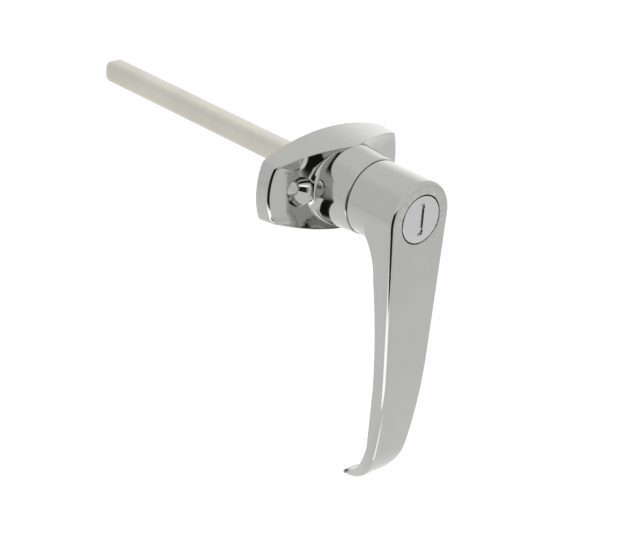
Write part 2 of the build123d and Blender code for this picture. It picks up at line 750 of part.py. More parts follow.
pieces = [
    escutcheon.part,
    handle.part,
    spindle.part,
    spindle_pin.part,
    spring_washer.part,
    stop_washer.part,
    retaining_ring.part,
    cylinder_shell.part,
    shell_pin.part,
    key_plug.part,
    plug_clip.part,
    plug_cap.part,
    shutter.part,
    shutter_pin.part,
    shutter_spring.part,
    plug_driver.part,
    locking_bolt.part,
    *wafers,
]
os.makedirs("parts", exist_ok=True)
for piece in pieces:
    export_step(piece, f"parts/{piece.label}.step")
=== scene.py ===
"""Dresses the CAD frame of a keyed swing handle lock: chrome castings, spindle and wafer lock."""

import logging
import math
from dataclasses import dataclass
from enum import Enum

import bmesh
import bpy
from mathutils import Matrix, Vector


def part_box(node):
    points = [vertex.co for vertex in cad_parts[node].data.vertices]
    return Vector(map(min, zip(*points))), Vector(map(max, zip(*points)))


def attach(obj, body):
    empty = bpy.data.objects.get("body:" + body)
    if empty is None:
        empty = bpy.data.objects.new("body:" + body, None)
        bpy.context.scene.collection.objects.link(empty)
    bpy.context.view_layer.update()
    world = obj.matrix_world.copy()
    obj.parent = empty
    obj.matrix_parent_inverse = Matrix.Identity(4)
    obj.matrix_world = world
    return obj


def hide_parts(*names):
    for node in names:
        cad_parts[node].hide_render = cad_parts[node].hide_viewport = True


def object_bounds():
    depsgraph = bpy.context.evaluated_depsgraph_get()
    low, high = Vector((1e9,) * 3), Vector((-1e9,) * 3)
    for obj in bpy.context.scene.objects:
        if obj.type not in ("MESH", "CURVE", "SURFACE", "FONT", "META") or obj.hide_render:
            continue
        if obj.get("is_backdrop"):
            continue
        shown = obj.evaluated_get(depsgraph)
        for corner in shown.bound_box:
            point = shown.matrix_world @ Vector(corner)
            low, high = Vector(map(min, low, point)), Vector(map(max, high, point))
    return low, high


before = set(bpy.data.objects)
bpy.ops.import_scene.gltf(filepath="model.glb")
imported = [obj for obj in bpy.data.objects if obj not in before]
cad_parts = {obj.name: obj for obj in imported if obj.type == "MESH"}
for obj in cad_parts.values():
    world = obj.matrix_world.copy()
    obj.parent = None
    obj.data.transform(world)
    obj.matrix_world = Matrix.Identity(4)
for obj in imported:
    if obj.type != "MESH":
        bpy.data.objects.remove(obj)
log = logging.getLogger("swing_handle_lock")
MM = 0.001
# how far cutters stand past the faces that they cut, in millimetres
OVERRUN = 1.0
# from this angle in degrees an edge stays crisp
CRISP_ANGLE = 34.0
# corners closer than this are welded, in metres: those of own rings and those of the CAD's meshes
RING_WELD = 1e-7
CAD_WELD = 1e-6
# share of its shorter side that a rounded corner may take
CORNER_SHARE = 0.48
# a corner with less room than this, in millimetres, stays sharp
NO_ROOM = 1e-6
# from this half angle in degrees a corner counts as straight
STRAIGHT = 89.7
# points of a section closer than this, in millimetres, count as one
SAME_PLACE = 1e-4

# start, middle and end of a flat arc
Arc = tuple[tuple[float, float], tuple[float, float], tuple[float, float]]
Point = tuple[float, float, float]


class Pattern(Enum):
    """Surface pattern that a finish carries."""

    POLISHED = "polished"
    DRAWN = "drawn"
    TURNED = "turned"
    CAST = "cast"


# --- shared surface effects ---------------------------------------------------------------


def math_node(tree: bpy.types.NodeTree, operation: str, *values: object) -> bpy.types.NodeSocket:
    """Adds one Math node.

    Args:
        tree: The tree.
        operation: The node's operation.
        values: Numbers or sockets for its inputs, in order.

    Returns:
        The socket with its result.
    """
    node = tree.nodes.new("ShaderNodeMath")
    node.operation = operation
    for socket, value in zip(node.inputs, values):
        if isinstance(value, (int, float)):
            socket.default_value = value
        else:
            tree.links.new(value, socket)
    return node.outputs[0]


class Effects:
    """Shader node groups that several finishes share, each built once."""

    def __init__(self) -> None:
        """Starts with no groups built."""
        self.built: dict[str, bpy.types.NodeTree] = {}

    def _new(self, name: str, inputs: dict[str, float], outputs: list[str]) -> bpy.types.NodeTree:
        """Makes an empty group with float inputs, float outputs and a Vector input.

        Args:
            name: The group's name.
            inputs: Name and default of each number that the group takes.
            outputs: Name of each number that the group gives.

        Returns:
            The new group.
        """
        tree = bpy.data.node_groups.new(name, "ShaderNodeTree")
        tree.interface.new_socket("Vector", in_out="INPUT", socket_type="NodeSocketVector")
        for label, value in inputs.items():
            socket = tree.interface.new_socket(label, in_out="INPUT", socket_type="NodeSocketFloat")
            socket.default_value = value
        for label in outputs:
            tree.interface.new_socket(label, in_out="OUTPUT", socket_type="NodeSocketFloat")
        tree.nodes.new("NodeGroupInput")
        tree.nodes.new("NodeGroupOutput")
        self.built[name] = tree
        return tree

    def handling(self) -> bpy.types.NodeTree:
        """Faint smears and cloudy haze that hands leave on a polished part, as a Mask from 0 to 1."""
        if "handling_haze" in self.built:
            return self.built["handling_haze"]
        tree = self._new("handling_haze", {"Scale": 60.0, "Contrast": 0.3}, ["Mask"])
        nodes, links = tree.nodes, tree.links
        given, taken = nodes["Group Input"], nodes["Group Output"]
        noise = nodes.new("ShaderNodeTexNoise")
        noise.inputs["Detail"].default_value = 3.0
        noise.inputs["Distortion"].default_value = 0.6
        links.new(given.outputs["Vector"], noise.inputs["Vector"])
        links.new(given.outputs["Scale"], noise.inputs["Scale"])
        low = math_node(tree, "SUBTRACT", 0.5, given.outputs["Contrast"])
        high = math_node(tree, "ADD", 0.5, given.outputs["Contrast"])
        spread = nodes.new("ShaderNodeMapRange")
        spread.interpolation_type = "SMOOTHSTEP"
        links.new(noise.outputs["Fac"], spread.inputs["Value"])
        links.new(low, spread.inputs["From Min"])
        links.new(high, spread.inputs["From Max"])
        links.new(spread.outputs["Result"], taken.inputs["Mask"])
        return tree

    def streaks(self) -> bpy.types.NodeTree:
        """Fine lines left by drawing or turning, as a Height from 0 to 1 that runs along one axis."""
        if "tool_streaks" in self.built:
            return self.built["tool_streaks"]
        tree = self._new("tool_streaks", {"Across": 9000.0, "Along": 60.0}, ["Height"])
        nodes, links = tree.nodes, tree.links
        given, taken = nodes["Group Input"], nodes["Group Output"]
        rates = nodes.new("ShaderNodeCombineXYZ")
        links.new(given.outputs["Across"], rates.inputs["X"])
        links.new(given.outputs["Along"], rates.inputs["Y"])
        links.new(given.outputs["Across"], rates.inputs["Z"])
        scaled = nodes.new("ShaderNodeVectorMath")
        scaled.operation = "MULTIPLY"
        links.new(given.outputs["Vector"], scaled.inputs[0])
        links.new(rates.outputs["Vector"], scaled.inputs[1])
        noise = nodes.new("ShaderNodeTexNoise")
        noise.inputs["Scale"].default_value = 1.0
        noise.inputs["Detail"].default_value = 4.0
        links.new(scaled.outputs["Vector"], noise.inputs["Vector"])
        links.new(noise.outputs["Fac"], taken.inputs["Height"])
        return tree

    def waves(self) -> bpy.types.NodeTree:
        """Slow waviness of a buffed casting with a finer peel over it, as a Height from 0 to 1."""
        if "buffed_waves" in self.built:
            return self.built["buffed_waves"]
        tree = self._new("buffed_waves", {"Wave Scale": 90.0, "Peel Scale": 900.0, "Peel": 0.15}, ["Height"])
        nodes, links = tree.nodes, tree.links
        given, taken = nodes["Group Input"], nodes["Group Output"]
        wave = nodes.new("ShaderNodeTexNoise")
        wave.inputs["Detail"].default_value = 0.0
        peel = nodes.new("ShaderNodeTexNoise")
        peel.inputs["Detail"].default_value = 1.0
        links.new(given.outputs["Vector"], wave.inputs["Vector"])
        links.new(given.outputs["Vector"], peel.inputs["Vector"])
        links.new(given.outputs["Wave Scale"], wave.inputs["Scale"])
        links.new(given.outputs["Peel Scale"], peel.inputs["Scale"])
        height = math_node(
            tree, "MULTIPLY_ADD", peel.outputs["Fac"], given.outputs["Peel"], wave.outputs["Fac"]
        )
        links.new(height, taken.inputs["Height"])
        return tree


EFFECTS = Effects()
# how strongly the fine peel stands over the slow waves of a casting
PEEL = {Pattern.POLISHED: 0.12, Pattern.CAST: 0.9}


@dataclass(frozen=True)
class Finish:
    """One metal finish: colours with and without haze, gloss, surface pattern and its depth in metres."""

    name: str
    colour: tuple[float, float, float]
    shade: tuple[float, float, float]
    roughness: float
    haze: float
    pattern: Pattern
    relief: float
    haze_scale: float = 70.0
    across: float = 9000.0
    along: float = 60.0

    def material(self) -> bpy.types.Material:
        """Builds the material once and returns it afterwards."""
        if self.name in bpy.data.materials:
            return bpy.data.materials[self.name]
        material = bpy.data.materials.new(self.name)
        material.use_nodes = True
        nodes, links = material.node_tree.nodes, material.node_tree.links
        shader = nodes["Principled BSDF"]
        shader.inputs["Metallic"].default_value = 1.0
        place = nodes.new("ShaderNodeTexCoord")
        haze = nodes.new("ShaderNodeGroup")
        haze.node_tree = EFFECTS.handling()
        haze.inputs["Scale"].default_value = self.haze_scale
        links.new(place.outputs["Object"], haze.inputs["Vector"])
        tint = nodes.new("ShaderNodeMix")
        tint.data_type = "RGBA"
        tint.inputs["A"].default_value = (*self.colour, 1.0)
        tint.inputs["B"].default_value = (*self.shade, 1.0)
        links.new(haze.outputs["Mask"], tint.inputs["Factor"])
        links.new(tint.outputs["Result"], shader.inputs["Base Color"])
        gloss = nodes.new("ShaderNodeMapRange")
        gloss.inputs["To Min"].default_value = self.roughness
        gloss.inputs["To Max"].default_value = self.roughness + self.haze
        links.new(haze.outputs["Mask"], gloss.inputs["Value"])
        links.new(gloss.outputs["Result"], shader.inputs["Roughness"])
        relief = nodes.new("ShaderNodeGroup")
        if self.pattern in (Pattern.DRAWN, Pattern.TURNED):
            relief.node_tree = EFFECTS.streaks()
            relief.inputs["Across"].default_value = self.across
            relief.inputs["Along"].default_value = self.along
            links.new(self._run(material.node_tree, place), relief.inputs["Vector"])
        else:
            relief.node_tree = EFFECTS.waves()
            relief.inputs["Peel"].default_value = PEEL[self.pattern]
            links.new(place.outputs["Object"], relief.inputs["Vector"])
        bump = nodes.new("ShaderNodeBump")
        bump.inputs["Strength"].default_value = 1.0
        bump.inputs["Distance"].default_value = self.relief
        links.new(relief.outputs["Height"], bump.inputs["Height"])
        links.new(bump.outputs["Normal"], shader.inputs["Normal"])
        return material

    def _run(self, tree: bpy.types.NodeTree, place: bpy.types.Node) -> bpy.types.NodeSocket:
        """Gives the coordinates that streaks follow.

        Args:
            tree: The material's nodes.
            place: The Texture Coordinate node.

        Returns:
            Object coordinates for drawn stock, or the distance from the spindle's axis for turned faces.
        """
        if self.pattern is Pattern.DRAWN:
            return place.outputs["Object"]
        apart = tree.nodes.new("ShaderNodeSeparateXYZ")
        tree.links.new(place.outputs["Object"], apart.inputs["Vector"])
        sides = [apart.outputs[axis] for axis in ("X", "Z")]
        squares = [math_node(tree, "MULTIPLY", side, side) for side in sides]
        radius = math_node(tree, "SQRT", math_node(tree, "ADD", *squares))
        ring = tree.nodes.new("ShaderNodeCombineXYZ")
        tree.links.new(radius, ring.inputs["X"])
        tree.links.new(apart.outputs["Y"], ring.inputs["Z"])
        return ring.outputs["Vector"]


CHROME = Finish(
    "bright_chrome", (0.465, 0.465, 0.45), (0.45, 0.45, 0.435), 0.06, 0.03, Pattern.POLISHED, 1e-5
)
NICKEL = Finish(
    "satin_nickel_steel", (0.60, 0.585, 0.52), (0.56, 0.545, 0.48), 0.3, 0.08, Pattern.DRAWN, 1e-5
)
FACE_STEEL = Finish(
    "face_steel", (0.56, 0.565, 0.56), (0.54, 0.545, 0.54), 0.2, 0.06, Pattern.TURNED, 4e-6
)
BRIGHT_STEEL = Finish(
    "bright_steel", (0.56, 0.57, 0.58), (0.50, 0.51, 0.52), 0.18, 0.08, Pattern.TURNED, 6e-6
)
SPRING_STEEL = Finish(
    "spring_steel", (0.42, 0.43, 0.45), (0.34, 0.35, 0.37), 0.25, 0.1, Pattern.CAST, 6e-6
)
ZINC = Finish("cast_zinc", (0.50, 0.51, 0.53), (0.40, 0.41, 0.43), 0.38, 0.12, Pattern.CAST, 3e-5)
BRASS = Finish("stamped_brass", (0.80, 0.60, 0.26), (0.66, 0.46, 0.18), 0.22, 0.1, Pattern.DRAWN, 5e-6)


def dress(node: str, finish: Finish) -> None:
    """Gives a CAD node one finish in all its material slots.

    Args:
        node: The CAD node's name.
        finish: The finish that it shows.
    """
    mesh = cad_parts[node].data
    mesh.materials.clear()
    mesh.materials.append(finish.material())
    log.info("%s wears %s", node, finish.name)


# --- mesh helpers -----------------------------------------------------------------------------


def new_tree(name: str, inputs: dict[str, str]) -> bpy.types.NodeTree:
    """Starts a Geometry Nodes tree.

    Args:
        name: Name of the tree.
        inputs: Kind of each named input.

    Returns:
        The tree, with its inputs on the node called Given.
    """
    kinds = {
        "FLOAT": "NodeSocketFloat",
        "INT": "NodeSocketInt",
        "VECTOR": "NodeSocketVector",
        "MATERIAL": "NodeSocketMaterial",
    }
    tree = bpy.data.node_groups.new(name, "GeometryNodeTree")
    tree.interface.new_socket("Geometry", in_out="OUTPUT", socket_type="NodeSocketGeometry")
    for label, kind in inputs.items():
        tree.interface.new_socket(label, in_out="INPUT", socket_type=kinds[kind])
    given = tree.nodes.new("NodeGroupInput")
    given.name = "Given"
    return tree


def close_tree(tree: bpy.types.NodeTree, result: bpy.types.NodeSocket) -> None:
    """Ends a tree: instances made real, material set.

    Args:
        tree: The tree.
        result: Socket with the finished geometry.
    """
    real = tree.nodes.new("GeometryNodeRealizeInstances")
    paint = tree.nodes.new("GeometryNodeSetMaterial")
    out = tree.nodes.new("NodeGroupOutput")
    tree.links.new(result, real.inputs["Geometry"])
    tree.links.new(real.outputs["Geometry"], paint.inputs["Geometry"])
    tree.links.new(tree.nodes["Given"].outputs["Finish"], paint.inputs["Material"])
    tree.links.new(paint.outputs["Geometry"], out.inputs["Geometry"])


def grown_mesh(name: str, tree: bpy.types.NodeTree, sizes: dict[str, object]) -> bpy.types.Mesh:
    """Runs a Geometry Nodes tree and keeps its result as a plain mesh.

    Args:
        name: Name of the mesh.
        tree: The tree.
        sizes: Value of each of its named inputs.

    Returns:
        The plain mesh.
    """
    seed = bpy.data.objects.new(name, bpy.data.meshes.new(name + "_seed"))
    modifier = seed.modifiers.new("grow", "NODES")
    modifier.node_group = tree
    for item in tree.interface.items_tree:
        if item.item_type == "SOCKET" and item.in_out == "INPUT" and item.name in sizes:
            modifier[item.identifier] = sizes[item.name]
    bpy.context.scene.collection.objects.link(seed)
    graph = bpy.context.evaluated_depsgraph_get()
    mesh = bpy.data.meshes.new_from_object(seed.evaluated_get(graph))
    mesh.name = name
    bpy.data.objects.remove(seed)
    return mesh


def fillet(corner: Vector, before: Vector, after: Vector, radius: float, count: int) -> list[Vector]:
    """Points of the arc that rounds a corner of a flat path.

    Args:
        corner: The corner.
        before: The point before it on the path.
        after: The point after it.
        radius: Radius wanted, made smaller where a side is too short for it.
        count: How many points the arc has.

    Returns:
        The arc's points, from the side before the corner to the side after it.
    """
    come, go = before - corner, after - corner
    room = CORNER_SHARE * min(come.length, go.length)
    if room < NO_ROOM:
        return [corner.copy() for _ in range(count)]
    come, go = come.normalized(), go.normalized()
    half = come.angle(go) / 2
    shares = [i / (count - 1) for i in range(count)]
    if half > math.radians(STRAIGHT):
        reach = min(room, radius)
        ways = [come * (1 - 2 * share) if share < 0.5 else go * (2 * share - 1) for share in shares]
        return [corner + way * reach for way in ways]
    reach = min(radius / math.tan(half), room)
    centre = corner + (come + go).normalized() * (reach / math.cos(half))
    first = corner + come * reach - centre
    last = corner + go * reach - centre
    turn = first.angle(last)
    return [
        centre + (first * math.sin((1 - share) * turn) + last * math.sin(share * turn)) / math.sin(turn)
        for share in shares
    ]


def arc_through(arc: Arc, count: int) -> list[Vector]:
    """Points of the flat arc through three points.

    Args:
        arc: Where it starts, a point that it passes and where it ends.
        count: How many points are wanted.

    Returns:
        The points in order.
    """
    (ax, ay), (bx, by), (cx, cy) = arc
    twice = 2 * (ax * (by - cy) + bx * (cy - ay) + cx * (ay - by))
    a2, b2, c2 = ax * ax + ay * ay, bx * bx + by * by, cx * cx + cy * cy
    ux = (a2 * (by - cy) + b2 * (cy - ay) + c2 * (ay - by)) / twice
    uy = (a2 * (cx - bx) + b2 * (ax - cx) + c2 * (bx - ax)) / twice
    radius = math.hypot(ax - ux, ay - uy)
    start = math.atan2(ay - uy, ax - ux)
    sweep = math.atan2(cy - uy, cx - ux) - start
    sweep = (sweep + math.pi) % (2 * math.pi) - math.pi
    turns = [start + sweep * i / (count - 1) for i in range(count)]
    return [Vector((ux + radius * math.cos(turn), uy + radius * math.sin(turn))) for turn in turns]


def depth_on(path: list[Vector], drop: float) -> float:
    """Finds how deep a path lies at a drop.

    Args:
        path: The path's points as (drop, depth), from the highest down.
        drop: The drop.

    Returns:
        The depth, which stays level beyond the path's ends.
    """
    if drop <= path[0].x:
        return path[0].y
    for low, high in zip(path, path[1:]):
        if drop <= high.x:
            return low.y + (high.y - low.y) * (drop - low.x) / (high.x - low.x)
    return path[-1].y


def floor_between(floor: list[Vector], start: Vector, end: Vector) -> list[Vector]:
    """Keeps the floor points that lie between two rounded corners and makes up for the others.

    Args:
        floor: Points of the whole floor, from the outside in.
        start: Last point of the outer rounded corner.
        end: First point of the inner one.

    Returns:
        As many points as the floor has, so that all sections match.
    """
    kept = [point for point in floor if end.x + SAME_PLACE < point.x < start.x - SAME_PLACE]
    missing = len(floor) - len(kept)
    target = kept[0] if kept else end
    return [start.lerp(target, (i + 1) / (missing + 1)) for i in range(missing)] + kept


def shade_smooth(mesh: bpy.types.Mesh, crisp: float) -> None:
    """Shades a mesh smoothly, apart from edges at or over an angle in degrees."""
    mesh.polygons.foreach_set("use_smooth", [True] * len(mesh.polygons))
    mesh.set_sharp_from_angle(angle=math.radians(crisp))


def even_normals(piece: bpy.types.Object) -> None:
    """Lets wide faces set a piece's shading, so that flats stay flat beside rounded edges."""
    shade_smooth(piece.data, CRISP_ANGLE)
    weigh = piece.modifiers.new("weigh", "WEIGHTED_NORMAL")
    weigh.keep_sharp = True
    graph = bpy.context.evaluated_depsgraph_get()
    piece.data = bpy.data.meshes.new_from_object(piece.evaluated_get(graph))
    piece.modifiers.remove(weigh)


def ring_mesh(name: str, rings: list[list[Point]], capped: bool) -> bpy.types.Mesh:
    """Skins rings of points, given in millimetres, into a closed mesh in metres.

    Args:
        name: Name of the mesh.
        rings: Rings with the same number of points each.
        capped: True to fill the first and last ring, False to join the last ring to the first.

    Returns:
        The mesh, with its normals outwards.
    """
    form = bmesh.new()
    rows = [[form.verts.new([v * MM for v in point]) for point in ring] for ring in rings]
    pairs = list(zip(rows, rows[1:])) + ([] if capped else [(rows[-1], rows[0])])
    for low, high in pairs:
        for i, vert in enumerate(low):
            form.faces.new((vert, low[(i + 1) % len(low)], high[(i + 1) % len(low)], high[i]))
    if capped:
        form.faces.new(rows[0])
        form.faces.new(rows[-1])
    bmesh.ops.remove_doubles(form, verts=form.verts, dist=RING_WELD)
    bmesh.ops.recalc_face_normals(form, faces=form.faces)
    mesh = bpy.data.meshes.new(name)
    form.to_mesh(mesh)
    form.free()
    return mesh


def lathe(
    name: str, profile: list[tuple[float, float]], steps: int, x: float = 0.0, z: float = 0.0
) -> bpy.types.Mesh:
    """Turns a closed profile about a line parallel to the spindle's axis.

    Args:
        name: Name of the mesh.
        profile: Corners as (radius, height above the door), in millimetres.
        steps: Number of steps round.
        x: How far the line lies to the side of the spindle's axis.
        z: How far it lies above it.

    Returns:
        The turned mesh.
    """
    rings = []
    for step in range(steps):
        turn = 2 * math.pi * step / steps
        rings.append([(x + r * math.cos(turn), -h, z + r * math.sin(turn)) for r, h in profile])
    return ring_mesh(name, rings, False)


def block(name: str, low: Point, high: Point) -> bpy.types.Mesh:
    """Box between two corners in millimetres, used as a cutter."""
    (x0, y0, z0), (x1, y1, z1) = low, high
    rings = [[(x, y, z) for x, z in ((x0, z0), (x1, z0), (x1, z1), (x0, z1))] for y in (y0, y1)]
    return ring_mesh(name, rings, True)


def carve(body: bpy.types.Object, cutter: bpy.types.Mesh, operation: str = "DIFFERENCE") -> None:
    """Cuts a mesh out of a piece, or adds it.

    Args:
        body: The piece, whose mesh is replaced by the result.
        cutter: The mesh that cuts or joins it.
        operation: DIFFERENCE or UNION.
    """
    tool = bpy.data.objects.new(cutter.name, cutter)
    bpy.context.scene.collection.objects.link(tool)
    step = body.modifiers.new("carve", "BOOLEAN")
    step.operation = operation
    step.solver = "EXACT"
    step.object = tool
    graph = bpy.context.evaluated_depsgraph_get()
    result = bpy.data.meshes.new_from_object(body.evaluated_get(graph))
    body.modifiers.remove(step)
    old, body.data = body.data, result
    bpy.data.objects.remove(tool)
    bpy.data.meshes.remove(old)


def piece_of(mesh: bpy.types.Mesh, name: str) -> bpy.types.Object:
    """Puts a mesh in the scene as a piece at the origin."""
    piece = bpy.data.objects.new(name, mesh)
    bpy.context.scene.collection.objects.link(piece)
    return piece


def settle(
    piece: bpy.types.Object, finish: Finish, node: str, body: str, crisp: float = CRISP_ANGLE
) -> None:
    """Finishes a piece: smooth shading, material, and the CAD node and body that it stands for.

    Args:
        piece: The piece.
        finish: The finish that it shows.
        node: The CAD node that it replaces.
        body: The body that it rides on.
        crisp: Angle in degrees from which an edge stays crisp.
    """
    mesh = piece.data
    mesh.name = piece.name
    mesh.materials.clear()
    mesh.materials.append(finish.material())
    shade_smooth(mesh, crisp)
    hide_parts(node)
    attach(piece, body)
    log.info("%s: %d faces, %s", piece.name, len(mesh.polygons), finish.name)


# --- sub-assemblies ---------------------------------------------------------------------------


@dataclass
class Escutcheon:
    """Cast plate: drafted lens, scooped wings, flared neck, countersunk holes and cored back."""

    half_length: float = 27.1
    end_bow: float = 1.9
    half_height: float = 14.7
    corner_height: float = 9.6
    corner_blend: float = 1.3
    draft: float = 6.8
    wing_slope: float = 14.0
    wing_half_width: float = 9.7
    wing_wall: float = 30.0
    wing_end: float = 24.0
    wing_end_height: float = 5.236
    neck_height: float = 22.5
    neck_radius: float = 12.0
    neck_foot_side: float = 12.15
    neck_foot_top: float = 14.68
    flare_side: float = 2.4
    flare_top: float = 7.5
    rim_round: float = 1.9
    floor_round: float = 3.4
    lip_round: float = 0.35
    bore_round: float = 0.15
    bore: float = 9.08
    recess_radius: float = 11.4
    recess_depth: float = 5.5
    screw_x: float = 16.5
    screw_hole: float = 2.4
    screw_head: float = 4.8
    screw_relief: float = 0.3
    screw_clearance: float = 2.0
    wall: float = 2.2
    boss_wall: float = 1.9
    stop_radius: float = 12.9
    stop_sweep: float = 102.6
    stop_depth: float = 4.4
    notch_reach: float = 11.18
    notch_half_width: float = 2.35
    notch_rear: float = 13.8
    # the scooped floor is never narrower than this beside the neck
    floor_least: float = 0.02
    # turn in radians between the two directions that give the outline's slope
    nudge: float = 1e-3
    # how far up the outer wall and the neck their middle points lie
    wall_share: float = 0.4
    neck_share: float = 0.75
    # halvings of the height in which a wall meets the scooped surface
    halvings: int = 30
    # steps round the axis, and points of a section's floor and rounded corners
    steps: int = 480
    floor_steps: int = 26
    rim_steps: int = 11
    flare_steps: int = 17
    lip_steps: int = 7
    bore_steps: int = 4
    # floor points, counted from the rim and from the neck, that the rounded corners head for
    rim_heading: int = 3
    flare_heading: int = -8
    hole_steps: int = 96
    boss_steps: int = 72
    stop_steps: int = 72

    def _outline(self, turn: float) -> float:
        """Distance from the axis to the plate's foot in a direction."""
        across, along = abs(math.sin(turn)), abs(math.cos(turn))
        chord = self.half_length - self.end_bow
        rise = self.half_height - self.corner_height
        long_radius = (chord**2 + rise**2) / (2 * rise)
        drop = long_radius - self.half_height
        top = -drop * across + math.sqrt((drop * across) ** 2 + long_radius**2 - drop**2)
        end_radius = (self.corner_height**2 + self.end_bow**2) / (2 * self.end_bow)
        shift = self.half_length - end_radius
        end = shift * along + math.sqrt((shift * along) ** 2 + end_radius**2 - shift**2)
        gap = max(self.corner_blend - abs(top - end), 0.0)
        return min(top, end) - gap * gap / (4 * self.corner_blend)

    def _wing_floor(self, x: float) -> float:
        """Height of the wing's sloping floor above the door, at a distance from the axis."""
        return self.wing_end_height + (self.wing_end - x) * math.tan(math.radians(self.wing_slope))

    def _scoop(self, x: float, z: float) -> float:
        """Height of the scooped wing surface above the door."""
        out = abs(z) - self.wing_half_width
        soft = self.floor_round
        climb = 0.0 if out < -soft else (out if out > soft else (out + soft) ** 2 / (4 * soft))
        return self._wing_floor(abs(x)) + climb * math.tan(math.radians(self.wing_wall))

    def _meet(self, turn: float, foot: float, lean: float) -> float:
        """Height at which a leaning wall meets the scooped surface.

        Args:
            turn: Direction from the axis.
            foot: Wall's distance from the axis at the door.
            lean: How far the wall leans inwards for each millimetre of height.

        Returns:
            The height above the door.
        """
        low, high = 0.0, self.neck_height
        for _ in range(self.halvings):
            middle = (low + high) / 2
            r = foot - lean * middle
            if self._scoop(r * math.cos(turn), r * math.sin(turn)) > middle:
                low = middle
            else:
                high = middle
        return (low + high) / 2

    def _rim(self, turn: float) -> tuple[Vector, Vector, float]:
        """Follows the drafted outer wall up in a direction.

        Args:
            turn: Direction from the axis.

        Returns:
            The wall's foot and top as (distance from the axis, height), and how far it leans inwards for
            each millimetre of height.
        """
        outer = self._outline(turn)
        slope = (self._outline(turn + self.nudge) - outer) / (self.nudge * outer)
        lean = math.tan(math.radians(self.draft)) * math.hypot(1.0, slope)
        height = self._meet(turn, outer, lean)
        return Vector((outer, 0.0)), Vector((outer - lean * height, height)), lean

    def _neck_foot(self, turn: float) -> Vector:
        """Point (distance from the axis, height) where the leaning neck meets the scooped surface."""
        outer = self.neck_foot_side + (self.neck_foot_top - self.neck_foot_side) * math.sin(turn) ** 2
        lean = (outer - self.neck_radius) / self.neck_height
        height = self._meet(turn, outer, lean)
        return Vector((outer - lean * height, height))

    def _floor(self, turn: float, rim: Vector, foot: Vector) -> list[Vector]:
        """Points of the scooped surface between the rim and the neck's foot in a direction."""
        reaches = [rim.lerp(foot, i / self.floor_steps).x for i in range(1, self.floor_steps)]
        return [Vector((r, self._scoop(r * math.cos(turn), r * math.sin(turn)))) for r in reaches]

    def _section(self, turn: float) -> list[Point]:
        """Closed section of the plate from the axis outwards in a direction.

        Args:
            turn: Direction from the axis.

        Returns:
            The section's points, as many in every direction.
        """
        base, rim, lean = self._rim(turn)
        foot = self._neck_foot(turn)
        if rim.x < foot.x + self.floor_least:
            rim = foot + Vector((self.floor_least, -self.floor_least / lean))
        flare = self.flare_side + (self.flare_top - self.flare_side) * math.sin(turn) ** 2
        lip = Vector((self.neck_radius, self.neck_height))
        bore_top, bore_low = Vector((self.bore, self.neck_height)), Vector((self.bore, self.recess_depth))
        seat, mouth = Vector((self.recess_radius, self.recess_depth)), Vector((self.recess_radius, 0.0))
        floor = self._floor(turn, rim, foot)
        edge = fillet(rim, base, floor[self.rim_heading], self.rim_round, self.rim_steps)
        swell = fillet(foot, floor[self.flare_heading], lip, flare, self.flare_steps)
        path = [base, base.lerp(rim, self.wall_share)] + edge
        path += floor_between(floor, edge[-1], swell[0])
        path += swell + [foot.lerp(lip, self.neck_share)]
        path += fillet(lip, foot, bore_top, self.lip_round, self.lip_steps)
        path += fillet(bore_top, lip, bore_low, self.bore_round, self.bore_steps)
        path += [bore_low, seat, mouth]
        return [(p.x * math.cos(turn), -p.y, p.x * math.sin(turn)) for p in path]

    def build(self) -> bpy.types.Object:
        """Builds, cuts and dresses the plate.

        Returns:
            The finished piece.
        """
        rings = [self._section(2 * math.pi * i / self.steps) for i in range(self.steps)]
        piece = piece_of(ring_mesh("escutcheon_casting", rings, False), "escutcheon_casting")
        for side in (-1, 1):
            self._cut_screw_hole(piece, side)
        self._cut_stop_arc(piece)
        self._cut_notches(piece)
        for side in (-1, 1):
            self._cut_core(piece, side)
        even_normals(piece)
        settle(piece, CHROME, "escutcheon", "escutcheon")
        return piece

    def _cut_screw_hole(self, piece: bpy.types.Object, side: int) -> None:
        """Cuts the countersunk fixing hole in the left (-1) or right (1) wing."""
        floor = self._wing_floor(self.screw_x)
        sink = floor - (self.screw_head - self.screw_hole)
        top = floor + self.screw_clearance
        profile = [
            (0.0, -OVERRUN),
            (self.screw_hole, -OVERRUN),
            (self.screw_hole, sink),
            (self.screw_head, floor),
            (self.screw_head + self.screw_relief, top),
            (0.0, top),
        ]
        carve(piece, lathe("screw_cutter", profile, self.hole_steps, side * self.screw_x))

    def _cut_stop_arc(self, piece: bpy.types.Object) -> None:
        """Cuts the arc behind the plate in which the stop washer's tab swings."""
        start, end = (math.radians(90 + side * self.stop_sweep) for side in (-1, 1))
        turns = [start + (end - start) * i / self.stop_steps for i in range(self.stop_steps + 1)]
        sector = [(0.0, 0.0)]
        sector += [(self.stop_radius * math.cos(turn), self.stop_radius * math.sin(turn)) for turn in turns]
        layers = [[(x, y, z) for x, z in sector] for y in (OVERRUN, -self.stop_depth)]
        carve(piece, ring_mesh("stop_cutter", layers, True))

    def _cut_notches(self, piece: bpy.types.Object) -> None:
        """Cuts the notches in the neck, left, right and above, that the locking bolt's nose enters."""
        reach, half = self.notch_reach, self.notch_half_width
        front, rear = -self.neck_height - OVERRUN, -self.notch_rear
        carve(piece, block("notch_cutter", (-reach, front, -half), (reach, rear, half)))
        carve(piece, block("notch_cutter", (-half, front, 0.0), (half, rear, reach)))

